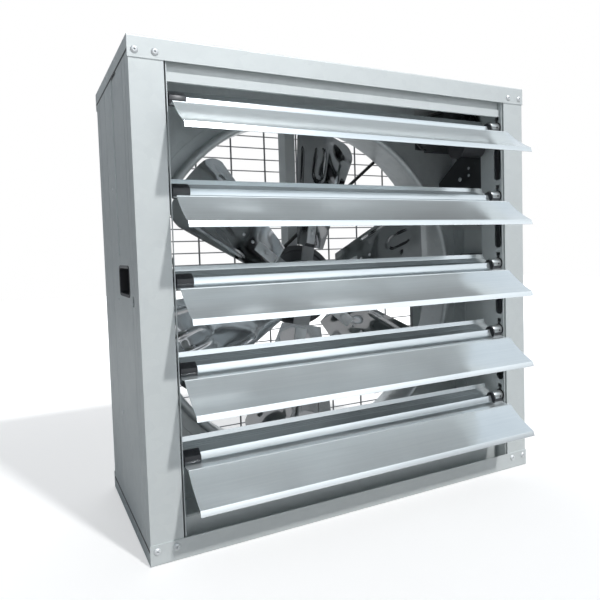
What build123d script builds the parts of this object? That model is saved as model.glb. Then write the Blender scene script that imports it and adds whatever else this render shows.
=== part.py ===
from build123d import *
import math
import os

# Square push-open louvred exhaust fan in a galvanised sheet housing.
# X runs to the right seen from the louvre side, Y runs from the louvres to the intake, Z is up.
# The origin is the centre of the footprint on the underside of the bottom panel.
# Places along Y are written as depths behind the front plane of the housing.

# Housing
width = 900.0
height = 900.0
depth = 400.0
sheet = 1.5
bend = 1.2
front_flange = 37.0
end_flange = 22.0
post_width = 58.0
post_lip = 8.0
rear_flange_width = 38.0
overrun = 20.0

# Sides of the outlines of round work
bore_sides = 6
head_sides = 8
slot_sides = 12
boss_sides = 16
disc_sides = 24
wheel_sides = 24

# Pressed lines and panel of the sides
bead_half_width = 3.0
bead_deep = 2.0
front_bead = 36.0
jamb_bead = 65.0
venturi_bead_gap = 37.0
rear_bead_gap = 46.0
emboss_width = 60.0
emboss_gap = 10.0
emboss_deep = 2.0
emboss_above_handle = 22.5
gland_hole_r = 10.0
gland_hole_depth = 56.0

# Recessed handle
handle_gap = 15.0
handle_length = 102.0
handle_height = 53.0
handle_above_axis = 12.5
handle_corner = 8.0
handle_wall = 2.0
handle_deep = 32.0
handle_bezel = 3.0
handle_bezel_thick = 1.2
handle_clearance = 0.4

# Rivets and screws
rivet_head_r = 6.5
rivet_head_h = 2.6
rivet_shank_r = 2.4
head_slope_angle = 45.0
rivet_from_side = 12.0
rivet_spacing = 33.5
rivet_edge = 25.0
screw_head_r = 4.5
screw_head_h = 1.4
screw_shank_r = 2.0
screw_edge = 11.0
screw_depth_shares = [0.28, 0.61]
side_rivet_depth_shares = [0.30, 0.60, 0.75]
side_rivet_height_shares = [0.498, 0.743, 0.240]

# Louvres
louvre_count = 5
top_pivot_drop = 92.0
low_pivot_rise = 178.4
pivot_depth = 18.0
rest_angle = 33.0
louvre_end_gap = 3.0
rear_cut_back = 8.5
rib_cut_back = 29.5
louvre_wall = 1.6
shutter_overlap = 12.6
rear_lip_back = 43.1
rear_lip_drop = 2.8
rear_fold_back = 36.3
rear_fold_drop = 9.0
web_end_ahead = 14.0
web_end_drop = 6.4
valley_ahead = 23.0
valley_drop = 4.6
dish_start_ahead = 37.5
dish_start_lift = 5.9
dish_end_lift = 3.6
dish_sag = 3.4
dish_steps = 5
front_lip_length = 8.4
front_lip_drop = 3.0
rib_rear_back = 7.0
rib_top_ahead = 1.3
rib_top_lift = 2.2
rib_front_ahead = 11.5
rib_front_drop = 5.0

# End caps, pins and bushings of the louvres
cap_back = 10.0
cap_ahead = 18.0
cap_lift = 8.0
cap_drop = 11.0
cap_chamfer = 6.0
cap_plate = 1.0
cap_fit = 0.05
pin_r = 4.0
running_fit = 0.05
bushing_flange_r = 13.0
bushing_flange_thick = 1.2
bushing_barrel_r = 7.0
bushing_length = 9.0

# Jambs, stop strip and sill
jamb_behind_post = 5.0
jamb_front = 4.0
jamb_past_bead = 3.0
jamb_tab = 13.0
slot_width = 22.0
slot_below_pivot = 45.0
slot_above_pivot = 36.0
key_width = 12.0
key_height = 8.0
key_above_pivot = 21.5
strip_gap = 1.5
stop_web_depth = 14.0
stop_face_depth = 10.0
stop_web_height = 50.5
stop_face_height = 16.0
stop_hem = 6.0
stop_top_flange = 20.0
sill_depth = 30.0
sill_height = 58.5
sill_hem = 8.0
sill_foot_flange = 22.0
sill_end_gap = 5.5

# Cranks and pull rod
crank_past_jamb = 16.5
crank_thick = 4.0
crank_reach = 21.0
crank_angle = 12.0
crank_boss_r = 8.0
crank_end_r = 6.0
crank_pin_r = 2.5
crank_pin_stand = 5.0
rod_gap = 0.6
rod_thick = 2.0
rod_width = 14.0
rod_overhang = 14.0
rod_hole_clearance = 0.1

# Balance weight of the shutter
weight_from_jamb = 85.5
weight_length = 72.0
weight_r = 24.0
weight_disc_r = 30.0
weight_disc_thick = 4.0
weight_back = 16.2
weight_drop = 55.8
weight_arm_thick = 3.0
weight_arm_foot = 30.0
weight_arm_neck = 12.0
weight_arm_inset = 22.0

# Venturi panel and ring
ring_from_edge = 58.0
plate_depth = 243.0
plate_side_flange = 43.0
nose_r = 9.0
nose_steps = 3
nose_ahead = 31.0
ring_flange_width = 24.0
throat_behind = 62.0
opening_clearance = 0.6
notch_left = 72.0
notch_down = 52.0

# Impeller
blade_count = 6
first_blade_angle = 80.0
tip_clearance = 11.0
blade_root_share = 0.252
blade_behind_plate = 23.0
blade_angle = 22.0
blade_lean_angle = 8.0
blade_thick = 1.5
blade_chord_shares = [0.252, 0.5617]
blade_camber = 15.0
blade_corner_r = 38.0
corner_steps = 3
tip_steps = 4
pad_raise = 2.0
pad_length_share = 0.2415
pad_width = 44.0
pad_centre_share = 0.8005
rib_width = 9.0
rib_place_share = 0.3
rib_end_shares = [0.4462, 0.9239]
arm_width = 40.0
arm_thick = 4.0
arm_end_share = 0.5932
hub_r = 62.0
hub_ahead = 26.0
hub_length = 64.0
boss_r = 30.0
boss_length = 25.0
bearing_r = 21.0
bearing_width = 15.0
spindle_r = 10.0
spindle_flange_r = 40.0
spindle_flange_thick = 6.0
spindle_inset = 6.0
cap_r = 30.0
cap_height = 16.0
dome_angles = [0.0, 35.0, 65.0]
rivet_row_shares = [0.3097, 0.3832, 0.4567, 0.5302]
rivet_small_r = 4.5
rivet_small_h = 2.0
seat_gap = 0.05

# Strut
strut_width = 27.0
strut_deep = 40.0
strut_gap = 1.0
strut_wall = 2.0

# Pulleys and belt
belt_gap = 7.0
belt_width = 8.0
belt_thick = 7.0
belt_clearance = 0.3
pulley_side = 4.0
fan_pulley_r = 100.0
motor_pulley_r = 40.0
pulley_holes = 6
pulley_hole_r = 13.0

# Motor
motor_side_gap = 5.0
motor_top_gap = 5.0
motor_r = 50.0
motor_core_r = 45.0
motor_ahead = 117.0
motor_behind = 33.0
motor_fins = 16
motor_fin_thick = 3.0
cowl_length = 34.0
cowl_edge = 8.0
shield_share = 0.8
shield_length = 12.0
shaft_r = 9.5
shaft_inside = 40.0
box_width = 24.0
box_length = 60.0
box_height = 40.0

# Motor bracket
bracket_past_jamb = 12.5
bracket_thick = 4.0
foot_gap = 3.5
shelf_width = 93.5
bracket_riser = 44.0
bracket_top_drop = 33.0
bracket_height = 172.0
bracket_rear_drop = 52.0
bracket_rear_height = 65.0
bracket_tip_ahead = 26.0
bracket_tip_rise = 25.0
bracket_screw_r = 4.0
bracket_bolt_r = 6.0
bracket_screw_inset = 56.0
bracket_screw_drop = 26.0
bracket_screw_step = 18.0
bracket_bolt_step = 32.0
foot_width = 12.0
foot_spread_share = 0.6

# Wire guard
guard_pitch_shares = [0.2198, 0.07065]
guard_columns = 4
guard_rows = 13
guard_from_edge = 36.0
frame_wire_r = 2.5
column_wire_r = 2.0
row_wire_r = 1.25
clip_width = 24.0
clip_height = 12.0
clip_wall = 1.5
clip_row_numbers = [2, 9]

# Places that follow from the sizes above
half_width = width / 2
inner_top = height - sheet
inner_half = half_width - 2 * sheet
axis_z = height / 2
rivet_outer_x = half_width - rivet_from_side
rivet_inner_x = rivet_outer_x - rivet_spacing
rear_bead = depth - rear_bead_gap
venturi_bead = plate_depth + venturi_bead_gap
bead_depths = [front_bead, jamb_bead, venturi_bead, rear_bead]
jamb_rear = jamb_bead + bead_half_width + jamb_past_bead
handle_front = jamb_rear + handle_gap
handle_foot = axis_z + handle_above_axis
emboss_rear = plate_depth - plate_side_flange - emboss_gap
emboss_front = emboss_rear - emboss_width
emboss_foot = handle_foot + handle_height + emboss_above_handle
gland_hole_z = axis_z + gland_hole_r / 2
jamb_x = half_width - sheet - post_width - jamb_behind_post
top_pivot_z = height - top_pivot_drop
louvre_pitch = (top_pivot_z - low_pivot_rise) / (louvre_count - 1)
louvre_half = jamb_x - louvre_end_gap
louvre_rear_half = louvre_half - rear_cut_back
louvre_rib_half = louvre_half - rib_cut_back
front_lip_ahead = louvre_pitch - rear_lip_back + shutter_overlap
dish_end_ahead = front_lip_ahead - front_lip_length
stop_step_z = inner_top - stop_web_height
stop_foot_z = stop_step_z - stop_face_height
sill_top_z = sheet + sill_height
sill_half = jamb_x - sill_end_gap
crank_x = jamb_x + crank_past_jamb
weight_left_x = jamb_x - weight_from_jamb
throat_r = min(half_width, axis_z) - ring_from_edge
blade_tip_r = throat_r - tip_clearance
blade_root_r = blade_root_share * blade_tip_r
blade_root_chord, blade_tip_chord = (share * blade_tip_r for share in blade_chord_shares)
pad_length = pad_length_share * blade_tip_r
pad_centre_r = pad_centre_share * blade_tip_r
rib_start_r, rib_end_r = (share * blade_tip_r for share in rib_end_shares)
arm_end_r = arm_end_share * blade_tip_r
nose_depth = plate_depth - nose_ahead
ring_flange_r = throat_r + 2 * nose_r + ring_flange_width
ring_rear_depth = plate_depth + throat_behind
blade_mid_depth = plate_depth + blade_behind_plate
camber_radius = ((blade_tip_chord / 2) ** 2 + blade_camber**2) / (2 * blade_camber)
hub_front_depth = blade_mid_depth - hub_ahead
hub_rear_depth = hub_front_depth + hub_length
boss_rear_depth = hub_rear_depth + boss_length
spindle_front_depth = hub_front_depth + spindle_inset
strut_front_depth = boss_rear_depth + strut_gap + spindle_flange_thick
belt_front_depth = ring_rear_depth + belt_gap
belt_rear_depth = belt_front_depth + belt_width
pulley_front_depth = belt_front_depth - belt_clearance - pulley_side
pulley_rear_depth = belt_rear_depth + belt_clearance + pulley_side
motor_x = inner_half - motor_side_gap - motor_r
motor_z = inner_top - motor_top_gap - motor_r
motor_front_depth = plate_depth - motor_ahead
motor_rear_depth = plate_depth + motor_behind
guard_half_x = half_width - guard_from_edge
guard_half_z = axis_z - guard_from_edge
guard_pitch_x = guard_pitch_shares[0] * guard_half_x
guard_pitch_z = guard_pitch_shares[1] * guard_half_z
bracket_x = jamb_x + bracket_past_jamb
shelf_z = motor_z - motor_r - foot_gap
shelf_left_x = inner_half - emboss_deep - sheet - shelf_width
shelf_front_depth = motor_front_depth - seat_gap
bracket_top_z = shelf_z - bracket_top_drop
bracket_rear_z = bracket_top_z - bracket_rear_drop
bracket_low_rear_z = bracket_rear_z - bracket_rear_height
bracket_tip_depth = jamb_rear + bracket_tip_ahead
bracket_tip_z = bracket_top_z - bracket_height
bracket_low_front_z = bracket_tip_z + bracket_tip_rise


def at(distance):
    """Y of a place that lies this far behind the front plane."""
    return distance - depth / 2


def block(x0, x1, d0, d1, z0, z1):
    """Box between two places along each axis, with Y given as depths."""
    size = (abs(x1 - x0), abs(d1 - d0), abs(z1 - z0))
    return Pos((x0 + x1) / 2, at((d0 + d1) / 2), (z0 + z1) / 2) * Box(*size)


def ring(sides, radius, around=True):
    """Corners of a regular outline: round a circle of this radius, or else inside it."""
    reach = radius / math.cos(math.pi / sides) if around else radius
    turns = [math.pi * (2 * index + 1) / sides for index in range(sides)]
    return [(reach * math.cos(turn), reach * math.sin(turn)) for turn in turns]


def disc(sides, radius, around=True):
    """Regular outline, filled in."""
    return make_face(Polyline(*ring(sides, radius, around), close=True))


def slot(sides, length, across):
    """Upright slot outline with ends of half a regular outline."""
    lift = (length - across) / 2
    points = [(x, z + math.copysign(lift, z)) for x, z in ring(sides, across / 2)]
    return make_face(Polyline(*points, close=True))


def cut_rectangle(across, tall, cut):
    """Rectangle with cut corners."""
    a, b = across / 2, tall / 2
    corner = [(a, b - cut), (a - cut, b)]
    half = corner + [(-x, z) for x, z in reversed(corner)]
    return make_face(Polyline(*half, *[(-x, -z) for x, z in half], close=True))


def bar_y(outline, d0, d1, x, z):
    """Bar of an outline along Y between two depths."""
    place = Plane(origin=(x, at(d0), z), x_dir=(1, 0, 0), z_dir=(0, 1, 0))
    return extrude(place * outline, d1 - d0)


def bar_x(outline, x0, x1, d, z):
    """Bar of an outline along X."""
    place = Plane(origin=(x0, at(d), z), x_dir=(0, 1, 0), z_dir=(1, 0, 0))
    return extrude(place * outline, x1 - x0)


def bar_z(outline, x, d, z0, z1):
    """Bar of an outline along Z."""
    return extrude(Pos(x, at(d), z0) * outline, z1 - z0)


def stack(sides, levels):
    """Tapered steps through pairs of radius and height, from the bottom up."""
    steps = []
    for (r0, z0), (r1, z1) in zip(levels, levels[1:]):
        slope = math.degrees(math.atan2(r0 - r1, z1 - z0))
        steps.append(Pos(0, 0, z0) * extrude(disc(sides, r0), z1 - z0, taper=slope))
    body = steps[0]
    for step in steps[1:]:
        body = body + step
    return body


def shank(radius, length):
    """Six-sided shank or bore below a seat at the origin."""
    return extrude(disc(bore_sides, radius), -length)


def head(radius, rise):
    """Tapered head above a seat at the origin."""
    return extrude(disc(head_sides, radius), rise, taper=head_slope_angle)


def fastener(head_r, head_h, shank_r, shank_length):
    """Rivet or screw with its seat at the origin and its head along +Z."""
    return head(head_r, head_h) + shank(shank_r, shank_length)


def folded(path, wall, inside_bend):
    """Section of folded sheet: the path is one face and the wall lies to its left, or right if negative."""
    legs = [Vector(b[0] - a[0], b[1] - a[1]).normalized() for a, b in zip(path, path[1:])]
    normals = [Vector(-leg.Y, leg.X) for leg in legs]
    first = [Vector(*path[0]) + normals[0] * wall]
    last = [Vector(*path[-1]) + normals[-1] * wall]
    middle = []
    path_radii = []
    wall_radii = []
    for index in range(1, len(path) - 1):
        before, after = normals[index - 1], normals[index]
        share = 1 + before.dot(after)
        middle.append(Vector(*path[index]) + (before + after) * (wall / share))
        turn = legs[index - 1].cross(legs[index]).Z * wall
        wide, tight = inside_bend + abs(wall), inside_bend
        path_radii.append(wide if turn > 0 else tight)
        wall_radii.append(tight if turn > 0 else wide)
    points = [Vector(*point) for point in path] + last + middle[::-1] + first
    radii = [0] + path_radii + [0, 0] + wall_radii[::-1] + [0]
    if inside_bend > 0:
        return make_face(FilletPolyline(*points, radius=radii, close=True))
    return make_face(Polyline(*points, close=True))


def along_x(section, x0, x1):
    """Run a section drawn in depth and height along X."""
    place = Plane(origin=(x0, at(0), 0), x_dir=(0, 1, 0), z_dir=(1, 0, 0))
    return extrude(place * section, x1 - x0)


def along_z(section, z0, z1):
    """Run a section drawn in X and depth upwards."""
    return extrude(Pos(0, at(0), z0) * section, z1 - z0)


def turned(profile):
    """Turn a profile drawn as radius and depth about the impeller axis."""
    place = Plane(origin=(0, at(0), axis_z), x_dir=(1, 0, 0), z_dir=(0, 0, 1))
    return revolve(place * profile, Axis((0, 0, axis_z), (0, 1, 0)))


def other_side(shape):
    """The same piece on the other side of the housing."""
    return mirror(shape, about=Plane.YZ)


def solids_of(shapes):
    """Group of separate solids in one node."""
    found = []
    for shape in shapes:
        found.extend(shape.solids())
    return Compound(children=found)


# Housing sheets
def corner_seats():
    """Seats of the corner rivets, with their heads outwards."""
    seats = []
    for side in (-1, 1):
        for x in (rivet_outer_x, rivet_inner_x):
            for z in (rivet_edge, height - rivet_edge):
                seats.append(Pos(side * x, at(0), z) * Rot(90, 0, 0))
                seats.append(Pos(side * x, at(depth), z) * Rot(-90, 0, 0))
    return seats


def rivet_bores():
    """Bores of all corner rivets, through both sheets."""
    return [seat * shank(rivet_shank_r, 2 * sheet) for seat in corner_seats()]


def seats_on_sides(face_x, places):
    """Seats on both sides of the housing, with their heads outwards."""
    seats = []
    for d, z in places:
        seats.append(Pos(face_x, at(d), z) * Rot(0, 90, 0))
        seats.append(Pos(-face_x, at(d), z) * Rot(0, -90, 0))
    return seats


def end_screw_seats():
    """Seats of the screws in the end flanges."""
    heights = (screw_edge, height - screw_edge)
    places = [(share * depth, z) for share in screw_depth_shares for z in heights]
    return seats_on_sides(half_width, places)


def end_screw_bores():
    """Bores of the screws through end flanges and side panels."""
    return [seat * shank(screw_shank_r, 3 * sheet) for seat in end_screw_seats()]


def cover_panel():
    """Top panel: a shallow tray with front, rear and end flanges turned down."""
    tray = block(-half_width, half_width, 0, depth, height - front_flange, height)
    long_edges = tray.edges().filter_by(Axis.X).group_by(Axis.Z)[-1]
    tray = fillet(long_edges, bend + sheet)
    hollow = block(
        -half_width + sheet, half_width - sheet, sheet, depth - sheet,
        height - front_flange - overrun, inner_top,
    )
    tray = tray - hollow
    for side in (-1, 1):
        tray = tray - block(
            side * (half_width - 2 * sheet), side * (half_width + overrun), 2 * sheet, depth - 2 * sheet,
            height - front_flange - overrun, height - end_flange,
        )
    return tray - rivet_bores() - end_screw_bores()


def base_panel():
    """Bottom panel: the top panel turned over."""
    return mirror(cover_panel(), about=Plane.XY.offset(height / 2))


def side_path():
    """Outer face of the right side panel in plan, from the post lip round to the rear flange."""
    outer = half_width - sheet
    near, far = sheet, depth - sheet
    path = [
        (outer - post_width, near + post_lip),
        (outer - post_width, near),
        (outer, near),
    ]
    for centre in bead_depths:
        path += [
            (outer, centre - bead_half_width),
            (outer - bead_deep, centre),
            (outer, centre + bead_half_width),
        ]
    path += [
        (outer, far),
        (outer - rear_flange_width, far),
    ]
    return path


def handle_opening(grow, x0, x1):
    """Prism with cut corners through the side where the handle goes, grown all round."""
    centre_d = handle_front + handle_length / 2
    centre_z = handle_foot + handle_height / 2
    outline = cut_rectangle(
        handle_length + 2 * grow, handle_height + 2 * grow, handle_corner + grow
    )
    return bar_x(outline, x0, x1, centre_d, centre_z)


def side_panel():
    """Right side panel with post, beads, embossed strip, handle opening and cable hole."""
    outer = half_width - sheet
    panel = along_z(folded(side_path(), sheet, 0), sheet, inner_top)
    back = outer - emboss_deep
    panel = panel + block(
        back - sheet, outer, emboss_front - sheet, emboss_rear + sheet, emboss_foot - sheet, inner_top
    )
    panel = panel - block(
        back, outer + overrun, emboss_front, emboss_rear, emboss_foot, inner_top + overrun
    )
    panel = panel - handle_opening(0, outer - overrun, outer + overrun)
    gland_bore = bar_x(
        disc(boss_sides, gland_hole_r), outer - overrun, outer + overrun, gland_hole_depth, gland_hole_z
    )
    return panel - gland_bore - rivet_bores() - end_screw_bores() - side_rivet_bores()


def handle():
    """Right recessed handle: a moulded cup with a thin bezel on the outside of the panel."""
    outer = half_width - sheet
    face = outer + handle_bezel_thick
    bezel = handle_opening(handle_bezel, outer, face)
    cup = handle_opening(-handle_clearance, outer - handle_deep, outer)
    inside = handle_opening(
        -handle_clearance - handle_wall, outer - handle_deep + handle_wall, face + overrun
    )
    return bezel + cup - inside


def side_rivet_seats():
    """Seats of the rivets that hold the venturi panel to the sides."""
    front = plate_depth - plate_side_flange
    places = [
        (front + along * plate_side_flange, up * height)
        for along, up in zip(side_rivet_depth_shares, side_rivet_height_shares)
    ]
    return seats_on_sides(half_width - sheet, places)


def side_rivet_bores():
    """Bores of the venturi panel's rivets through the side panel and the flange behind it."""
    return [seat * shank(rivet_shank_r, 3 * sheet) for seat in side_rivet_seats()]


def corner_rivets():
    """Blind rivets of the front and rear corners."""
    one = fastener(rivet_head_r, rivet_head_h, rivet_shank_r, 2 * sheet)
    return solids_of([seat * one for seat in corner_seats()])


def panel_screws():
    """Screws through the end flanges, with flat heads."""
    one = fastener(screw_head_r, screw_head_h, screw_shank_r, 2 * sheet)
    return solids_of([seat * one for seat in end_screw_seats()])


def side_rivets():
    """Rivets that hold the venturi panel's side flanges."""
    one = fastener(screw_head_r, screw_head_h, rivet_shank_r, 2 * sheet)
    return solids_of([seat * one for seat in side_rivet_seats()])


# Jambs, stop strip and sill
def pivot_heights():
    """Z of each louvre pivot, from the top."""
    return [top_pivot_z - index * louvre_pitch for index in range(louvre_count)]


def jamb():
    """Right jamb strip with a bushing hole, a key and a long slot at each louvre."""
    wall_face = inner_half
    path = [
        (jamb_x, jamb_front),
        (jamb_x, jamb_rear),
        (wall_face - sheet, jamb_rear),
        (wall_face - sheet, jamb_rear + jamb_tab),
    ]
    strip = along_z(folded(path, -sheet, 0), sheet, inner_top)
    x0, x1 = jamb_x - overrun, jamb_x + overrun / 2
    heights = pivot_heights()
    for z in heights:
        strip = strip - bar_x(disc(head_sides, bushing_barrel_r), x0, x1, pivot_depth, z)
        key_z = z + key_above_pivot
        strip = strip - block(
            x0, x1, pivot_depth - key_width / 2, pivot_depth + key_width / 2,
            key_z - key_height / 2, key_z + key_height / 2,
        )
    for upper, lower in zip(heights, heights[1:]):
        top, foot = upper - slot_below_pivot, lower + slot_above_pivot
        opening = slot(slot_sides, top - foot, slot_width)
        strip = strip - bar_x(opening, x0, x1, pivot_depth, (top + foot) / 2)
    return strip


def bushing(z):
    """Right pivot bushing: a wide thin flange on the jamb's face and a barrel through it."""
    face = jamb_x - bushing_flange_thick
    end = jamb_x + bushing_length
    body = bar_x(disc(slot_sides, bushing_flange_r), face, jamb_x, pivot_depth, z)
    body = body + bar_x(disc(head_sides, bushing_barrel_r), face, end, pivot_depth, z)
    bore = disc(head_sides, pin_r + running_fit)
    return body - bar_x(bore, face - overrun, end + overrun, pivot_depth, z)


def pivot_bushings():
    """Bushings of both jambs."""
    right = [bushing(z) for z in pivot_heights()]
    return solids_of(right + [other_side(one) for one in right])


def stop_strip():
    """Strip under the top panel that the top louvre closes behind."""
    path = [
        (stop_web_depth + stop_top_flange, inner_top),
        (stop_web_depth, inner_top),
        (stop_web_depth, stop_step_z),
        (stop_face_depth, stop_step_z),
        (stop_face_depth, stop_foot_z),
        (stop_face_depth + stop_hem, stop_foot_z),
    ]
    half = jamb_x - strip_gap
    return along_x(folded(path, sheet, 0), -half, half)


def sill():
    """Upright strip on the bottom panel that the lowest louvre closes in front of."""
    path = [
        (sill_depth + sill_foot_flange, sheet),
        (sill_depth, sheet),
        (sill_depth, sill_top_z),
        (sill_depth + sill_hem, sill_top_z),
    ]
    return along_x(folded(path, -sheet, 0), -sill_half, sill_half)


# Louvres
def louvre_plane(pivot_z, x):
    """Plane across a louvre: its X runs from the pivot to the lip, its Y is the upper side."""
    droop = math.radians(rest_angle)
    return Plane(
        origin=(x, at(pivot_depth), pivot_z),
        x_dir=(0, -math.cos(droop), -math.sin(droop)),
        z_dir=(-1, 0, 0),
    )


def blade_curve():
    """Upper face of the dished blade from its rear edge to the fold of its lip."""
    points = []
    for step in range(dish_steps + 1):
        share = step / dish_steps
        s = dish_start_ahead + share * (dish_end_ahead - dish_start_ahead)
        chord_n = dish_start_lift + share * (dish_end_lift - dish_start_lift)
        points.append((s, chord_n - 4 * dish_sag * share * (1 - share)))
    return points


def louvre_section():
    """Section of the extruded louvre: hooked rear lip, web, valley, dished blade and lip."""
    path = [
        (-rear_lip_back, -rear_lip_drop),
        (-rear_fold_back, -rear_fold_drop),
        (web_end_ahead, -web_end_drop),
        (valley_ahead, -valley_drop),
    ]
    path += blade_curve()
    path += [(front_lip_ahead, -front_lip_drop)]
    return folded(path, -louvre_wall, 0)


def rib_section():
    """Section of the raised rib on the web."""
    slope = (-web_end_drop + rear_fold_drop) / (web_end_ahead + rear_fold_back)
    rear_n = -rear_fold_drop + slope * (-rib_rear_back + rear_fold_back)
    front_n = -rear_fold_drop + slope * (rib_front_ahead + rear_fold_back)
    points = [
        (-rib_rear_back, rear_n - louvre_wall / 2),
        (rib_front_ahead, front_n - louvre_wall / 2),
        (rib_front_ahead, -rib_front_drop),
        (rib_top_ahead, rib_top_lift),
        (rib_top_ahead - louvre_wall, rib_top_lift),
    ]
    return make_face(Polyline(*points, close=True))


def louvre(pivot_z):
    """One louvre, with the rib and the rear part cut back at both ends."""
    body = extrude(louvre_plane(pivot_z, louvre_half) * louvre_section(), 2 * louvre_half)
    rib = extrude(louvre_plane(pivot_z, louvre_rib_half) * rib_section(), 2 * louvre_rib_half)
    body = body + rib
    rear_cut = Pos(-cap_back - overrun - dish_start_ahead / 2, 0) * Rectangle(
        2 * overrun + dish_start_ahead, 2 * overrun
    )
    for side in (-1, 1):
        start = louvre_half + overrun if side > 0 else -louvre_rear_half
        cut = extrude(louvre_plane(pivot_z, start) * rear_cut, louvre_half + overrun - louvre_rear_half)
        body = body - cut
    return body


def cap_section():
    """Outline of an end cap round the web."""
    points = [
        (-cap_back, -cap_drop),
        (cap_ahead, -cap_drop),
        (cap_ahead, cap_lift - cap_chamfer),
        (cap_ahead - cap_chamfer, cap_lift),
        (-cap_back + cap_chamfer, cap_lift),
        (-cap_back, cap_lift - cap_chamfer),
    ]
    return make_face(Polyline(*points, close=True))


def skin_relief():
    """Section of the slot in a cap that the louvre's skin fills, with a little room."""
    slope = (-web_end_drop + rear_fold_drop) / (web_end_ahead + rear_fold_back)
    rise = (-valley_drop + web_end_drop) / (valley_ahead - web_end_ahead)
    rear_s, front_s = -cap_back - overrun, cap_ahead + overrun
    rear_n = -rear_fold_drop + slope * (rear_s + rear_fold_back)
    front_n = -web_end_drop + rise * (front_s - web_end_ahead)
    points = [
        (rear_s, rear_n + cap_fit),
        (web_end_ahead, -web_end_drop + cap_fit),
        (front_s, front_n + cap_fit),
        (front_s, front_n - louvre_wall - 2 * cap_fit),
        (web_end_ahead, -web_end_drop - louvre_wall - 2 * cap_fit),
        (rear_s, rear_n - louvre_wall - 2 * cap_fit),
    ]
    return make_face(Polyline(*points, close=True))


def end_cap(pivot_z, pin_end_x):
    """Right end cap of a louvre with its pivot pin."""
    end = louvre_half + cap_fit
    cap = extrude(louvre_plane(pivot_z, end + cap_plate) * cap_section(), end + cap_plate - louvre_rib_half)
    cap = cap - extrude(louvre_plane(pivot_z, end) * skin_relief(), louvre_half)
    return cap + bar_x(disc(slot_sides, pin_r, False), end, pin_end_x, pivot_depth, pivot_z)


def end_caps(pivot_z):
    """Both end caps of a louvre; the right pin is longer, for the crank."""
    right = end_cap(pivot_z, crank_x + crank_thick)
    left = other_side(end_cap(pivot_z, jamb_x + bushing_length))
    return solids_of([right, left])


def crank_pin_offset():
    """Depth and Z of a crank pin from its pivot at rest."""
    angle = math.radians(-crank_angle)
    return crank_reach * math.cos(angle), crank_reach * math.sin(angle)


def crank(pivot_z):
    """Crank arm on the right pivot, with the pin that the pull rod hangs on."""
    offset_d, offset_z = crank_pin_offset()
    ends = disc(head_sides, crank_boss_r).edges()
    ends = ends + (Pos(offset_d, offset_z) * disc(head_sides, crank_end_r)).edges()
    pin_start = crank_x + crank_thick
    arm = bar_x(make_hull(ends), crank_x, pin_start, pivot_depth, pivot_z)
    bore = disc(head_sides, pin_r + cap_fit)
    arm = arm - bar_x(bore, crank_x - overrun, crank_x + overrun, pivot_depth, pivot_z)
    return arm + bar_x(
        disc(head_sides, crank_pin_r, False), pin_start, pin_start + crank_pin_stand,
        pivot_depth + offset_d, pivot_z + offset_z,
    )


def pull_rod():
    """Flat upright bar that joins the five crank pins."""
    offset_d, offset_z = crank_pin_offset()
    heights = [z + offset_z for z in pivot_heights()]
    x0 = crank_x + crank_thick + rod_gap
    centre = pivot_depth + offset_d
    rod = block(
        x0, x0 + rod_thick, centre - rod_width / 2, centre + rod_width / 2,
        heights[-1] - rod_overhang, heights[0] + rod_overhang,
    )
    rod = chamfer(rod.edges().filter_by(Axis.X), rod_width / 4)
    bore = disc(head_sides, crank_pin_r + rod_hole_clearance)
    for z in heights:
        rod = rod - bar_x(bore, x0 - overrun, x0 + overrun, centre, z)
    return rod


def balance_weight():
    """Round weight under the rear of the top louvre, with a wider disc at its left end."""
    middle = Pos(-weight_back, -weight_drop)
    place = louvre_plane(top_pivot_z, weight_left_x + weight_length)
    body = extrude(place * middle * disc(disc_sides, weight_r), weight_length)
    disc_place = louvre_plane(top_pivot_z, weight_left_x)
    return body + extrude(disc_place * middle * disc(disc_sides, weight_disc_r), weight_disc_thick)


def weight_arms():
    """Two flat arms from the web of the top louvre down to the balance weight."""
    slope = (-web_end_drop + rear_fold_drop) / (web_end_ahead + rear_fold_back)
    rear_s, front_s = -weight_back - weight_arm_foot / 2, -weight_back + weight_arm_foot / 2
    rear_n = -rear_fold_drop + slope * (rear_s + rear_fold_back) - louvre_wall
    front_n = -rear_fold_drop + slope * (front_s + rear_fold_back) - louvre_wall
    foot_n = -weight_drop
    points = [
        (rear_s, rear_n - 2 * seat_gap),
        (front_s, front_n - 2 * seat_gap),
        (-weight_back + weight_arm_neck, foot_n),
        (-weight_back - weight_arm_neck, foot_n),
    ]
    outline = make_face(Polyline(*points, close=True))
    arms = []
    for x in (
        weight_left_x + weight_arm_inset,
        weight_left_x + weight_length - weight_arm_inset,
    ):
        arm = extrude(louvre_plane(top_pivot_z, x) * outline, weight_arm_thick)
        arms.append(arm - balance_weight())
    return solids_of(arms)


# Venturi
def venturi_panel():
    """Square plate with the round opening, side flanges turned forwards and a motor notch."""
    front = plate_depth - sheet
    plate = block(-inner_half, inner_half, front, plate_depth, sheet, inner_top)
    for side in (-1, 1):
        plate = plate + block(
            side * (inner_half - sheet), side * inner_half, plate_depth - plate_side_flange, plate_depth,
            sheet, inner_top,
        )
    opening_r = throat_r + 2 * nose_r + opening_clearance
    plate = plate - bar_y(Circle(opening_r), front - overrun, plate_depth + overrun, 0, axis_z)
    plate = plate - block(
        motor_x - notch_left, half_width + overrun, plate_depth - 2 * plate_side_flange,
        plate_depth + overrun, motor_z - notch_down, height + overrun,
    )
    return plate - side_rivet_bores()


def nose_points(radius):
    """Radius and depth of points round the rolled lip, from the throat side outwards."""
    turns = [math.pi * index / nose_steps for index in range(nose_steps + 1)]
    middle_r, middle_d = throat_r + nose_r, nose_depth + nose_r
    return [
        (middle_r - radius * math.cos(turn), middle_d - radius * math.sin(turn)) for turn in turns
    ]


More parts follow.
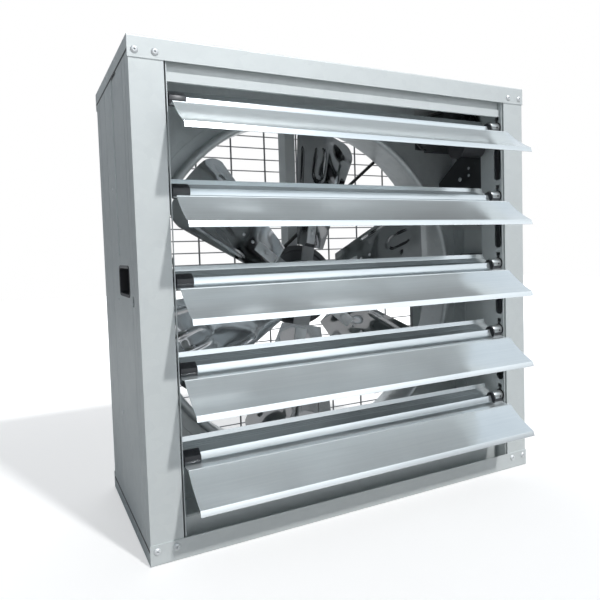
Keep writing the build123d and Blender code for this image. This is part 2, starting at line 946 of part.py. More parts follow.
def venturi_ring():
    """Ring with a flat flange on the plate, a rolled front lip and a straight throat."""
    seat = plate_depth - sheet
    outer_r = throat_r + 2 * nose_r
    points = [(throat_r, ring_rear_depth)] + nose_points(nose_r)
    points += [
        (outer_r, seat - sheet),
        (ring_flange_r, seat - sheet),
        (ring_flange_r, seat),
        (outer_r - sheet, seat),
    ]
    points += nose_points(nose_r - sheet)[::-1] + [(throat_r + sheet, ring_rear_depth)]
    return turned(make_face(Polyline(*points, close=True)))


# Impeller
def round_about_axis(shape, angle):
    """Turn a piece about the impeller axis, clockwise seen from the louvres."""
    return shape.rotate(Axis((0, 0, axis_z), (0, 1, 0)), angle)


def blade_angles():
    """Turn of each blade from the upright position."""
    step = 360 / blade_count
    return [90 - first_blade_angle + index * step for index in range(blade_count)]


def camber_line(chord, offset):
    """Points across an upright blade bent in three flats, at an offset from its front face."""
    fold = 2 * math.asin(blade_tip_chord / 2 / camber_radius) / 3
    reach = camber_radius + offset
    fold_x = reach * math.sin(fold / 2)
    fold_y = reach * math.cos(fold / 2) + blade_camber / 2 - camber_radius
    half = chord / 2
    if half <= fold_x:
        return [(-half, fold_y), (half, fold_y)]
    edge_y = fold_y - (half - fold_x) * math.tan(fold)
    return [(-half, edge_y), (-fold_x, fold_y), (fold_x, fold_y), (half, edge_y)]


def camber_strip(chord, front_offset, rear_offset):
    """Bent strip across an upright blade, between two offsets from its front face."""
    points = camber_line(chord, front_offset) + camber_line(chord, rear_offset)[::-1]
    outline = make_face(Polyline(*points, close=True))
    return Pos(0, at(blade_mid_depth)) * Rot(0, 0, blade_angle) * outline


def upright(section, r0, r1):
    """Run a blade section outwards between two radii on the upright blade."""
    return extrude(Pos(0, 0, axis_z + r0) * section, r1 - r0)


def blade_outline():
    """Outline of the upright blade seen from the front: narrow root, wide rounded tip."""
    spread = math.cos(math.radians(blade_angle))
    tip = blade_tip_chord / 2 * spread
    corner_x = tip - blade_corner_r
    corner_z = math.sqrt((blade_tip_r - blade_corner_r) ** 2 - corner_x**2)
    lean = math.atan2(corner_z, corner_x)
    right = [(blade_root_chord / 2 * spread, blade_root_r)]
    for index in range(corner_steps + 1):
        turn = lean * index / corner_steps
        right.append(
            (corner_x + blade_corner_r * math.cos(turn), corner_z + blade_corner_r * math.sin(turn))
        )
    top = []
    for index in range(1, tip_steps):
        turn = lean + (math.pi - 2 * lean) * index / tip_steps
        top.append((blade_tip_r * math.cos(turn), blade_tip_r * math.sin(turn)))
    left = [(-x, z) for x, z in reversed(right)]
    return make_face(Polyline(*right, *top, *left, close=True))


def through_front(outline):
    """Prism of an outline drawn from the front about the impeller axis."""
    place = Plane(origin=(0, at(depth), axis_z), x_dir=(1, 0, 0), z_dir=(0, -1, 0))
    return extrude(place * outline, depth)


def blade():
    """Upright blade: one bent sheet with a pressed oval and two pressed ribs."""
    wide = blade_tip_chord + overrun
    sheet_strip = upright(camber_strip(wide, 0, blade_thick), blade_root_r, blade_tip_r)
    skin = sheet_strip & through_front(blade_outline())
    raised = upright(
        camber_strip(wide, -pad_raise, blade_thick / 2), blade_root_r, blade_tip_r
    )
    oval = slot(head_sides, pad_length, pad_width)
    oval = oval - slot(head_sides, pad_length - 2 * rib_width, pad_width - 2 * rib_width)
    ridge = raised & through_front(Pos(0, pad_centre_r) * oval)
    lean_x = rib_place_share * blade_tip_chord * math.cos(math.radians(blade_angle))
    mid = (rib_start_r + rib_end_r) / 2 - rib_width
    rib = slot(bore_sides, rib_end_r - rib_start_r - 4 * rib_width, rib_width)
    for side in (-1, 1):
        place = Pos(side * lean_x, mid) * Rot(0, 0, -side * blade_lean_angle)
        ridge = ridge + (raised & through_front(place * rib))
    return skin + ridge


def hub():
    """Cast hub: drum, rear boss and six arms that back the blades, bored for two bearings."""
    drum = bar_y(disc(disc_sides, hub_r), hub_front_depth, hub_rear_depth, 0, axis_z)
    body = drum + bar_y(disc(disc_sides, boss_r), hub_rear_depth, boss_rear_depth, 0, axis_z)
    arm = upright(
        camber_strip(arm_width, blade_thick, blade_thick + arm_thick), hub_r / 2, arm_end_r
    )
    for angle in blade_angles():
        body = body + round_about_axis(arm, angle)
    seat = disc(boss_sides, bearing_r)
    rear_seat = boss_rear_depth - bearing_width
    body = body - bar_y(seat, hub_front_depth - overrun, hub_front_depth + bearing_width, 0, axis_z)
    body = body - bar_y(seat, rear_seat, boss_rear_depth + overrun, 0, axis_z)
    bore = disc(boss_sides, spindle_r + 2 * seat_gap + sheet)
    return body - bar_y(bore, hub_front_depth, boss_rear_depth, 0, axis_z)


def bearings():
    """Two ball bearings in the hub, as plain rings."""
    section = disc(boss_sides, bearing_r) - disc(boss_sides, spindle_r + running_fit)
    return solids_of(
        bar_y(section, d, d + bearing_width, 0, axis_z)
        for d in (hub_front_depth, boss_rear_depth - bearing_width)
    )


def hub_cap():
    """Domed cap over the front bearing."""
    turns = [math.radians(angle) for angle in dome_angles]
    levels = [
        (cap_r * math.cos(turn), cap_height * math.sin(turn) / math.sin(turns[-1])) for turn in turns
    ]
    return Pos(0, at(hub_front_depth), axis_z) * Rot(90, 0, 0) * stack(boss_sides, levels)


def blade_rivets():
    """Rivets that hold each blade to its arm."""
    one = head(rivet_small_r, rivet_small_h)
    face_y = camber_line(arm_width, 0)[0][1]
    rivets = []
    for angle in blade_angles():
        for share in rivet_row_shares:
            r = share * blade_tip_r
            place = Pos(0, at(blade_mid_depth), axis_z + r) * Rot(0, 0, blade_angle)
            seat = place * Pos(0, face_y, 0) * Rot(90, 0, 0)
            rivets.append(round_about_axis(seat * one, angle))
    return solids_of(rivets)


def pulley(sides, radius, bore_r, x, z):
    """Belt pulley with a groove between two flanges."""
    bottom = radius - belt_thick - belt_clearance
    front_d, rear_d = pulley_front_depth, pulley_rear_depth
    wheel = bar_y(disc(sides, bottom, False), front_d, rear_d, x, z)
    for d in (front_d, rear_d - pulley_side):
        wheel = wheel + bar_y(disc(sides, radius, False), d, d + pulley_side, x, z)
    return wheel - bar_y(disc(boss_sides, bore_r), front_d - overrun, rear_d + overrun, x, z)


def fan_pulley():
    """Large pulley on the rear boss of the hub, with six holes in its web."""
    bore_r = boss_r / math.cos(math.pi / disc_sides) + cap_fit
    wheel = pulley(wheel_sides, fan_pulley_r, bore_r, 0, axis_z)
    orbit = (boss_r + fan_pulley_r - belt_thick) / 2
    hole = disc(head_sides, pulley_hole_r)
    for index in range(pulley_holes):
        angle = 2 * math.pi * index / pulley_holes
        wheel = wheel - bar_y(
            hole, pulley_front_depth - overrun, pulley_rear_depth + overrun,
            orbit * math.cos(angle), axis_z + orbit * math.sin(angle),
        )
    return wheel


def motor_pulley():
    """Small pulley on the motor shaft."""
    return pulley(disc_sides, motor_pulley_r, shaft_r + cap_fit, motor_x, motor_z)


def v_belt():
    """Belt round both pulleys."""
    def loop(inset):
        big = Pos(0, axis_z) * disc(wheel_sides, fan_pulley_r - inset)
        small = Pos(motor_x, motor_z) * disc(disc_sides, motor_pulley_r - inset)
        return make_hull(big.edges() + small.edges())

    band = loop(0) - loop(belt_thick)
    place = Plane(origin=(0, at(belt_rear_depth), 0), x_dir=(1, 0, 0), z_dir=(0, -1, 0))
    return extrude(place * band, belt_width)


def spindle():
    """Fixed spindle with the flange that bolts to the strut."""
    rear = strut_front_depth
    front = rear - spindle_flange_thick
    flange = bar_y(disc(boss_sides, spindle_flange_r), front, rear, 0, axis_z)
    return flange + bar_y(Circle(spindle_r), spindle_front_depth, front, 0, axis_z)


def strut():
    """Upright square tube that carries the spindle."""
    half = strut_width / 2
    rear = strut_front_depth + strut_deep
    tube = block(-half, half, strut_front_depth, rear, sheet, inner_top)
    return tube - block(
        -half + strut_wall, half - strut_wall, strut_front_depth + strut_wall, rear - strut_wall,
        sheet, inner_top,
    )


# Motor
def fin_outline():
    """Outline of the motor frame with its cooling fins."""
    points = []
    for index in range(motor_fins):
        middle = 2 * math.pi * index / motor_fins
        root, tip = (math.asin(motor_fin_thick / 2 / r) for r in (motor_core_r, motor_r))
        for r, turn in ((motor_core_r, -root), (motor_r, -tip), (motor_r, tip), (motor_core_r, root)):
            points.append((r * math.cos(middle + turn), r * math.sin(middle + turn)))
    return make_face(Polyline(*points, close=True))


def motor_body():
    """Finned motor frame with its rear end shield, bored for the shaft."""
    front = motor_front_depth + cowl_length
    end = motor_rear_depth + shield_length
    shell = bar_y(fin_outline(), front, motor_rear_depth, motor_x, motor_z)
    shield = disc(boss_sides, shield_share * motor_core_r)
    shell = shell + bar_y(shield, motor_rear_depth, end, motor_x, motor_z)
    bore = disc(boss_sides, shaft_r + running_fit)
    return shell - bar_y(bore, end - shaft_inside, end + overrun, motor_x, motor_z)


def motor_cowl():
    """Round cover over the cooling fan at the front end of the motor."""
    levels = [(motor_r, 0), (motor_r, cowl_length - cowl_edge), (motor_r - cowl_edge, cowl_length)]
    rear = motor_front_depth + cowl_length
    return Pos(motor_x, at(rear), motor_z) * Rot(90, 0, 0) * stack(disc_sides, levels)


def motor_shaft():
    """Motor shaft, which carries the small pulley."""
    start = motor_rear_depth + shield_length - shaft_inside + belt_clearance
    return bar_y(Circle(shaft_r), start, pulley_rear_depth, motor_x, motor_z)


def terminal_box():
    """Terminal box on the left of the motor frame."""
    middle = (motor_front_depth + cowl_length + motor_rear_depth) / 2
    right = motor_x - motor_core_r
    box = block(
        right - box_width, motor_x - motor_core_r / 2, middle - box_length / 2, middle + box_length / 2,
        motor_z - box_height / 2, motor_z + box_height / 2,
    )
    round_hollow = disc(disc_sides, motor_r + seat_gap)
    box = box - bar_y(round_hollow, motor_front_depth, motor_rear_depth + overrun, motor_x, motor_z)
    return chamfer(box.edges().filter_by(Axis.X), box_width / 6)


def motor_feet():
    """Two feet under the motor frame, on the bracket's shelf."""
    frame_front = motor_front_depth + cowl_length
    spread = foot_spread_share * motor_r
    hollow = bar_y(disc(disc_sides, motor_r + seat_gap), 0, depth, motor_x, motor_z)
    feet = []
    for side in (-1, 1):
        centre = motor_x + side * spread
        foot = block(
            centre - foot_width / 2, centre + foot_width / 2, frame_front, plate_depth - 2 * sheet,
            shelf_z, motor_z,
        )
        feet.append((foot - hollow).solids().sort_by(Axis.Z)[0])
    return solids_of(feet)


def motor_bracket():
    """Black plate between jamb and venturi panel, with the shelf that carries the motor."""
    rear = plate_depth - sheet
    riser_rear = shelf_front_depth + bracket_riser
    points = [
        (jamb_rear, bracket_low_front_z),
        (bracket_tip_depth, bracket_tip_z),
        (rear, bracket_low_rear_z),
        (rear, bracket_rear_z),
        (riser_rear, bracket_top_z),
        (riser_rear, shelf_z - bracket_thick / 2),
        (shelf_front_depth, shelf_z - bracket_thick / 2),
        (shelf_front_depth, bracket_top_z),
        (jamb_rear, bracket_top_z),
    ]
    plate = along_x(make_face(Polyline(*points, close=True)), bracket_x, bracket_x + bracket_thick)
    shelf = block(
        shelf_left_x, inner_half - emboss_deep - sheet, shelf_front_depth, rear, shelf_z - bracket_thick, shelf_z
    )
    return plate + shelf


def bracket_screw_group():
    """Three screws in the bracket plate."""
    d = jamb_rear + bracket_screw_inset
    z = bracket_top_z - bracket_screw_drop
    places = [
        (d, z, bracket_screw_r),
        (d, z - bracket_screw_step, bracket_screw_r),
        (d + bracket_bolt_step, z - bracket_screw_step - bracket_bolt_r, bracket_bolt_r),
    ]
    screws = []
    for d, z, radius in places:
        screws.append(Pos(bracket_x, at(d), z) * Rot(0, -90, 0) * head(radius, radius / 2))
    return solids_of(screws)


# Wire guard
def flange_face():
    """Depth of the front of the side panels' rear flanges."""
    return depth - 2 * sheet


def guard_frame():
    """Thick wires round the guard and its upright wires."""
    d = flange_face() - frame_wire_r
    wire = disc(head_sides, frame_wire_r)
    reach = guard_half_z - frame_wire_r
    wires = []
    for side in (-1, 1):
        wires.append(bar_x(wire, -guard_half_x, guard_half_x, d, axis_z + side * guard_half_z))
        wires.append(bar_z(wire, side * guard_half_x, d, axis_z - reach, axis_z + reach))
    return solids_of(wires)


def guard_uprights():
    """Upright wires of the guard."""
    front = flange_face() - 2 * frame_wire_r
    wire = disc(head_sides, column_wire_r)
    reach = guard_half_z - frame_wire_r
    wires = []
    for index in range(guard_columns):
        for side in (-1, 1):
            x = side * guard_pitch_x * (index + 1 / 2)
            wires.append(bar_z(wire, x, front + column_wire_r, axis_z - reach, axis_z + reach))
    return solids_of(wires)


def guard_rungs():
    """Level wires of the guard, welded on the front of the upright ones."""
    d = flange_face() - 2 * frame_wire_r - row_wire_r
    wire = disc(bore_sides, row_wire_r)
    wires = []
    for index in range(-guard_rows, guard_rows + 1):
        z = axis_z + index * guard_pitch_z
        wires.append(bar_x(wire, -guard_half_x, guard_half_x, d, z))
    return solids_of(wires)


def guard_clips():
    """Saddle clips that hold the guard's side wires to the rear flanges."""
    rear = flange_face()
    front = rear - 2 * frame_wire_r - clip_wall
    clips = []
    for side in (-1, 1):
        centre = side * guard_half_x
        for row in clip_row_numbers:
            for up in (-1, 1):
                z = axis_z + up * (row + 1 / 2) * guard_pitch_z
                clip = block(
                    centre - clip_width / 2, centre + clip_width / 2, front, rear,
                    z - clip_height / 2, z + clip_height / 2,
                )
                channel = frame_wire_r + seat_gap
                clip = clip - block(
                    centre - channel, centre + channel, front + clip_wall - seat_gap, rear + overrun,
                    z - clip_height, z + clip_height,
                )
                clips.append(clip)
    return solids_of(clips)


def build():
    """All pieces by node name."""
    nodes = {
        "top_panel": cover_panel(),
        "bottom_panel": base_panel(),
        "right_side_panel": side_panel(),
        "left_side_panel": other_side(side_panel()),
        "corner_rivets": corner_rivets(),
        "panel_screws": panel_screws(),
        "side_rivets": side_rivets(),
        "right_handle": handle(),
        "left_handle": other_side(handle()),
        "right_jamb": jamb(),
        "left_jamb": other_side(jamb()),
        "top_stop_strip": stop_strip(),
        "bottom_sill": sill(),
        "pivot_bushings": pivot_bushings(),
        "venturi_panel": venturi_panel(),
        "venturi_ring": venturi_ring(),
        "bearing_strut": strut(),
        "fixed_spindle": spindle(),
        "fan_hub": hub(),
        "hub_bearings": bearings(),
        "hub_cap": hub_cap(),
        "blade_rivets": blade_rivets(),
        "fan_pulley": fan_pulley(),
        "v_belt": v_belt(),
        "motor_frame": motor_body(),
        "motor_fan_cowl": motor_cowl(),
        "motor_feet": motor_feet(),
        "motor_shaft": motor_shaft(),
        "motor_pulley": motor_pulley(),
        "terminal_box": terminal_box(),
        "motor_bracket": motor_bracket(),
        "bracket_screws": bracket_screw_group(),
        "guard_frame": guard_frame(),
        "guard_uprights": guard_uprights(),
        "guard_rungs": guard_rungs(),
        "guard_clips": guard_clips(),
        "pull_rod": pull_rod(),
        "balance_weight": balance_weight(),
        "balance_weight_arms": weight_arms(),
    }
    for number, z in enumerate(pivot_heights(), start=1):
        nodes[f"louvre_{number}"] = louvre(z)
        nodes[f"louvre_{number}_end_caps"] = end_caps(z)
        nodes[f"louvre_{number}_crank"] = crank(z)
    upright_blade = blade()
    for number, angle in enumerate(blade_angles(), start=1):
        nodes[f"fan_blade_{number}"] = round_about_axis(upright_blade, angle)
    return nodes


os.makedirs("parts", exist_ok=True)
for name, shape in build().items():
    export_step(shape, f"parts/{name}.step")
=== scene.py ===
import logging
import math
from dataclasses import dataclass
from enum import Enum

import bmesh
import bpy
from mathutils import Matrix, Vector


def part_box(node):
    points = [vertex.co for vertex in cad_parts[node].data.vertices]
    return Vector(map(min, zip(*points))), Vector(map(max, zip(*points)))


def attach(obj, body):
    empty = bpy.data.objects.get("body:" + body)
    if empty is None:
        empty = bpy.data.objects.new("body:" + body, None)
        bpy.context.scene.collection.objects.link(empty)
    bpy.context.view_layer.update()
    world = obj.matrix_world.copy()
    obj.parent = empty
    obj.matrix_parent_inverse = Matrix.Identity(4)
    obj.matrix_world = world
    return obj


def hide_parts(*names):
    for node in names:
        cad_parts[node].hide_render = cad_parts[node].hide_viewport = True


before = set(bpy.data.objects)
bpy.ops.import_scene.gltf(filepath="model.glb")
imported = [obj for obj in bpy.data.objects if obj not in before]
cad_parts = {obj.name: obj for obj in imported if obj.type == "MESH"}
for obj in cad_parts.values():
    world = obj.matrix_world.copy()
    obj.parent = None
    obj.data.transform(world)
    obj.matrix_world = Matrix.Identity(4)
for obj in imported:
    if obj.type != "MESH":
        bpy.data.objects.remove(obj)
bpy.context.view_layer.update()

log = logging.getLogger("exhaust_fan")

Pair = tuple[float, float]
Triple = tuple[float, float, float]
Colour = tuple[float, float, float, float]
Wire = tuple[bpy.types.Node, str | int, bpy.types.Node, str | int]

DEPTH = 0.4
PIVOT_DEPTH = 0.018
PIVOT_Y = PIVOT_DEPTH - DEPTH / 2
PIVOT_TOP, PIVOT_PITCH = 0.808, 0.1574
PIVOTS = tuple(PIVOT_TOP - PIVOT_PITCH * n for n in range(5))
DROOP = math.radians(33.0)
FAN_Z = 0.45
FAN_BLADES = 6
SPINDLE_RADIUS = 0.01
FAN_PULLEY_RADIUS, MOTOR_PULLEY_RADIUS = 0.1, 0.04
SIDES = (-1, 1)
SHARP_EDGE = 0.5
WHITE: Colour = (1.0, 1.0, 1.0, 1.0)


class Along(Enum):
    """Direction in which a drawn or brushed surface shows its lines."""

    X = (0.02, 1.0, 1.0)
    Z = (1.0, 1.0, 0.02)
    NONE = (1.0, 1.0, 1.0)


class Effect(Enum):
    """Surface effects that the finishes share, by the names of their node groups."""

    SPANGLE = "zinc_spangle"
    GRAIN = "drawn_grain"
    SMUDGE = "handling_smudge"
    SWELL = "sheet_swell"


def at(depth: float) -> float:
    """Y of a place this many metres behind the front plane."""
    return depth - DEPTH / 2


def turned(degrees: float, axis: str) -> Matrix:
    """Turn about a main axis."""
    return Matrix.Rotation(math.radians(degrees), 4, axis)


def put(node: bpy.types.Node, values: dict[str | int, object]) -> bpy.types.Node:
    """Set input sockets of a node and return the node.

    Args:
        node: The node.
        values: Value of each socket, by its name or number.

    Returns:
        The same node.
    """
    for socket, value in values.items():
        node.inputs[socket].default_value = value
    return node


def join(tree: bpy.types.NodeTree, *wires: Wire) -> None:
    """Link nodes, each wire from one node's output to another's input."""
    for source, output, sink, socket in wires:
        tree.links.new(source.outputs[output], sink.inputs[socket])


def smooth_ramp(tree: bpy.types.NodeTree, window: Pair, values: Pair) -> bpy.types.Node:
    """Node that eases from one value to another while its input crosses a window.

    Args:
        tree: Tree that the node joins.
        window: Input at its start and end.
        values: Output there.

    Returns:
        The node.
    """
    ramp = tree.nodes.new("ShaderNodeMapRange")
    ramp.interpolation_type = "SMOOTHSTEP"
    return put(ramp, {"From Min": window[0], "From Max": window[1], "To Min": values[0], "To Max": values[1]})


def math_node(tree: bpy.types.NodeTree, operation: str) -> bpy.types.Node:
    """Node for one sum or product.

    Args:
        tree: Tree that the node joins.
        operation: What it works out.

    Returns:
        The node.
    """
    node = tree.nodes.new("ShaderNodeMath")
    node.operation = operation
    return node


class ShadeGroups:
    """Shared node groups for the surface effects of several finishes."""

    def __init__(self) -> None:
        """Build each group once."""
        self.trees = {
            Effect.SPANGLE: self._spangle(),
            Effect.GRAIN: self._noise(Effect.GRAIN, 700.0, {"Detail": 3.0, "Roughness": 0.65}),
            Effect.SMUDGE: self._noise(
                Effect.SMUDGE, 6.0, {"Detail": 5.0, "Roughness": 0.6, "Distortion": 0.6}, (0.35, 0.7)
            ),
            Effect.SWELL: self._noise(Effect.SWELL, 8.0, {"Detail": 0.0, "Distortion": 0.9}),
        }

    @staticmethod
    def _start(effect: Effect, scale: float) -> tuple[bpy.types.NodeTree, bpy.types.Node, bpy.types.Node]:
        """Start a group with a vector and a scale going in and a mask coming out.

        Args:
            effect: The effect, whose value names the group.
            scale: Default of the scale.

        Returns:
            The tree, its input node and its output node.
        """
        tree = bpy.data.node_groups.new(effect.value, "ShaderNodeTree")
        tree.interface.new_socket("Vector", in_out="INPUT", socket_type="NodeSocketVector")
        socket = tree.interface.new_socket("Scale", in_out="INPUT", socket_type="NodeSocketFloat")
        socket.default_value = scale
        tree.interface.new_socket("Mask", in_out="OUTPUT", socket_type="NodeSocketFloat")
        return tree, tree.nodes.new("NodeGroupInput"), tree.nodes.new("NodeGroupOutput")

    def _spangle(self) -> bpy.types.NodeTree:
        """Zinc crystals: flat grey cells of uneven size.

        Returns:
            The group.
        """
        tree, source, sink = self._start(Effect.SPANGLE, 90.0)
        warp = put(tree.nodes.new("ShaderNodeTexNoise"), {"Scale": 40.0})
        add = put(tree.nodes.new("ShaderNodeMixRGB"), {0: 0.02})
        add.blend_type = "ADD"
        cells = tree.nodes.new("ShaderNodeTexVoronoi")
        cells.feature = "F1"
        tones = tree.nodes.new("ShaderNodeSeparateColor")
        join(
            tree,
            (source, "Vector", warp, "Vector"), (source, "Vector", add, 1), (warp, "Color", add, 2),
            (add, 0, cells, "Vector"), (source, "Scale", cells, "Scale"),
            (cells, "Color", tones, "Color"), (tones, "Red", sink, "Mask"),
        )
        return tree

    def _noise(
        self, effect: Effect, scale: float, values: dict[str | int, object], window: Pair | None = None
    ) -> bpy.types.NodeTree:
        """Soft noise for fine lines, broad patches or slow waves.

        Args:
            effect: The effect.
            scale: Default scale.
            values: Sockets of the noise.
            window: Part of the noise that is stretched to the whole mask.

        Returns:
            The group.
        """
        tree, source, sink = self._start(effect, scale)
        noise = put(tree.nodes.new("ShaderNodeTexNoise"), values)
        join(tree, (source, "Vector", noise, "Vector"), (source, "Scale", noise, "Scale"))
        if window is None:
            join(tree, (noise, "Fac", sink, "Mask"))
            return tree
        steps = put(tree.nodes.new("ShaderNodeMapRange"), {"From Min": window[0], "From Max": window[1]})
        join(tree, (noise, "Fac", steps, "Value"), (steps, "Result", sink, "Mask"))
        return tree


@dataclass(frozen=True)
class Finish:
    """One surface finish, made into a material with masks for tone, roughness and relief."""

    name: str
    slot: str
    light: Triple
    dark: Triple
    metallic: float
    rough_low: float
    rough_high: float
    pattern: Effect = Effect.GRAIN
    along: Along = Along.NONE
    scale: float = 900.0
    relief: float = 0.05
    relief_height: float = 0.0002
    smudge: float = 0.3
    coat: float = 0.0
    wave: float = 0.0
    wave_height: float = 0.03

    def material(self, groups: ShadeGroups) -> bpy.types.Material:
        """Build the material.

        Args:
            groups: The shared node groups.

        Returns:
            The new material.
        """
        made = bpy.data.materials.new(self.name)
        made.use_nodes = True
        tree = made.node_tree
        tree.nodes.clear()
        new = tree.nodes.new
        pattern, patches, slow = (new("ShaderNodeGroup") for _ in range(3))
        for node, effect in ((pattern, self.pattern), (patches, Effect.SMUDGE), (slow, Effect.SWELL)):
            node.node_tree = groups.trees[effect]
        out, place = new("ShaderNodeOutputMaterial"), new("ShaderNodeTexCoord")
        skin = put(new("ShaderNodeBsdfPrincipled"), {"Metallic": self.metallic, "Coat Weight": self.coat})
        stretch = put(new("ShaderNodeMapping"), {"Scale": self.along.value})
        put(pattern, {"Scale": self.scale})
        both = put(new("ShaderNodeMix"), {0: self.smudge})
        tone = new("ShaderNodeMix")
        tone.data_type = "RGBA"
        put(tone, {6: (*self.dark, 1.0), 7: (*self.light, 1.0)})
        rough = put(new("ShaderNodeMapRange"), {"To Min": self.rough_high, "To Max": self.rough_low})
        bump = put(new("ShaderNodeBump"), {"Strength": self.relief, "Distance": self.relief_height})
        swell = put(new("ShaderNodeBump"), {"Strength": self.wave, "Distance": self.wave_height})
        join(
            tree,
            (place, "Object", stretch, "Vector"), (stretch, "Vector", pattern, "Vector"),
            (place, "Object", patches, "Vector"), (place, "Object", slow, "Vector"),
            (pattern, "Mask", both, 2), (patches, "Mask", both, 3),
            (both, 0, tone, 0), (tone, 2, skin, "Base Color"),
            (both, 0, rough, "Value"), (rough, "Result", skin, "Roughness"),
            (pattern, "Mask", bump, "Height"), (slow, "Mask", swell, "Height"),
            (bump, "Normal", swell, "Normal"), (swell, "Normal", skin, "Normal"),
            (skin, "BSDF", out, "Surface"),
        )
        return made


ZINC_SHEET = Finish(
    "galvanised_sheet", "galvanised_sheet", (0.7, 0.735, 0.73), (0.655, 0.69, 0.69), 0.3, 0.42, 0.54,
    Effect.SPANGLE, scale=60.0, relief=0.015, smudge=0.55, wave=0.02,
)
VENTURI_ZINC = Finish(
    "venturi_zinc", "galvanised_sheet", (0.67, 0.7, 0.705), (0.59, 0.62, 0.625), 0.45, 0.34, 0.48,
    Effect.SPANGLE, scale=55.0, relief=0.02, smudge=0.5,
)
LOUVRE_ALUMINIUM = Finish(
    "extruded_aluminium", "louvre_aluminium", (0.865, 0.91, 0.925), (0.69, 0.735, 0.75), 0.6, 0.12, 0.22,
    along=Along.X, scale=250.0, relief=0.12, relief_height=0.00012, smudge=0.25, wave=0.012,
)
STAINLESS = Finish(
    "polished_stainless", "stainless_blade", (0.55, 0.55, 0.555), (0.43, 0.43, 0.435), 1.0, 0.05, 0.13,
    along=Along.Z, scale=380.0, relief=0.08, relief_height=0.00008, smudge=0.4, wave=0.6,
)
CAST_ALUMINIUM = Finish(
    "cast_aluminium", "cast_hub", (0.5, 0.51, 0.52), (0.34, 0.35, 0.36), 0.85, 0.4, 0.6, relief=0.35,
)
ZINC_FASTENER = Finish(
    "zinc_fastener", "bright_steel", (0.74, 0.75, 0.76), (0.52, 0.53, 0.55), 0.95, 0.24, 0.42,
    scale=1500.0, relief=0.1, relief_height=0.0001, smudge=0.2,
)
RIVET_ZINC = Finish(
    "rivet_zinc", "bright_steel", (0.82, 0.84, 0.85), (0.7, 0.72, 0.73), 0.35, 0.32, 0.46,
    scale=1500.0, relief=0.08, relief_height=0.0001,
)
CAP_ZINC = Finish(
    "cap_zinc", "bright_steel", (0.5, 0.52, 0.52), (0.36, 0.38, 0.38), 0.8, 0.22, 0.4,
    scale=1500.0, relief=0.1, relief_height=0.0001,
)
GUARD_WIRE = Finish(
    "guard_wire", "bright_steel", (0.4, 0.4, 0.41), (0.26, 0.26, 0.27), 0.8, 0.35, 0.55,
    relief=0.15, relief_height=0.0001,
)
BLACK_MOULDING = Finish(
    "black_moulding", "black_moulding", (0.05, 0.052, 0.057), (0.026, 0.027, 0.03), 0.0, 0.26, 0.42,
    scale=1600.0, relief=0.2, relief_height=0.00015, smudge=0.35,
)
BLACK_IRON = Finish(
    "black_iron", "black_iron", (0.06, 0.06, 0.065), (0.03, 0.03, 0.033), 0.25, 0.4, 0.62,
    relief=0.4, relief_height=0.0003, smudge=0.4,
)
PULLEY_IRON = Finish(
    "pulley_iron", "black_iron", (0.14, 0.145, 0.15), (0.085, 0.09, 0.095), 0.3, 0.38, 0.58,
    relief=0.35, relief_height=0.0003, smudge=0.4,
)
BLACK_PAINT = Finish(
    "black_enamel", "black_paint", (0.035, 0.038, 0.042), (0.018, 0.02, 0.022), 0.1, 0.3, 0.5,
    scale=800.0, relief=0.15, smudge=0.35, coat=0.2,
)
BELT_RUBBER = Finish(
    "belt_rubber", "belt_rubber", (0.03, 0.03, 0.03), (0.015, 0.015, 0.015), 0.0, 0.6, 0.8,
    scale=1200.0, relief=0.4, relief_height=0.0003, smudge=0.4,
)


def axis_y(x: float, depth: float, z: float, forward: bool = False) -> Matrix:
    """Place whose local Z runs towards the intake, or towards the louvres if forward."""
    return Matrix.Translation((x, at(depth), z)) @ turned(90.0 if forward else -90.0, "X")


def axis_x(x: float, depth: float, z: float, side: int = 1) -> Matrix:
    """Place whose local Z runs outwards to one side."""
    return Matrix.Translation((x, at(depth), z)) @ turned(90.0 * side, "Y")


def louvre_place(n: int, side: int = -1) -> Matrix:
    """Place of a louvre: local X to one side of the fan, local Y from pivot to lip, local Z up from it.

    Args:
        n: Louvre, from 0 at the top.
        side: -1 for the left, 1 for the crank side.

    Returns:
        The place.
    """
    ahead = Vector((0, -math.cos(DROOP), -math.sin(DROOP)))
    up = Vector((0, -math.sin(DROOP), math.cos(DROOP)))
    turn = Matrix((Vector((-1, 0, 0)), ahead, up)).transposed().to_4x4()
    return Matrix.Translation((0, PIVOT_Y, PIVOTS[n])) @ turn @ Matrix.Diagonal((-side, 1, 1, 1))


def arc(radius: float, centre: Pair, start: float, end: float, steps: int) -> list[Pair]:
    """Points of an arc in a plane.

    Args:
        radius: Radius of the arc.
        centre: Its centre.
        start: First angle in degrees.
        end: Last angle in degrees.
        steps: Number of chords.

    Returns:
        The points, both ends included.
    """
    turns = [math.radians(start + (end - start) * k / steps) for k in range(steps + 1)]
    return [(centre[0] + radius * math.cos(t), centre[1] + radius * math.sin(t)) for t in turns]


def folded(path: list[Pair], wall: float) -> list[Pair]:
    """Outline of a folded sheet.

    Args:
        path: Corners of the sheet's first face.
        wall: Its thickness, to the right of the path.

    Returns:
        The corners there and back, mitred on the second face.
    """
    legs = [(Vector(b) - Vector(a)).normalized() for a, b in zip(path, path[1:])]
    normals = [Vector((leg.y, -leg.x)) for leg in legs]
    found = [Vector(path[0]) + normals[0] * wall]
    for k, (before, after) in enumerate(zip(normals, normals[1:]), start=1):
        found.append(Vector(path[k]) + (before + after) * (wall / (1 + before.dot(after))))
    found.append(Vector(path[-1]) + normals[-1] * wall)
    return path + [(v.x, v.y) for v in reversed(found)]


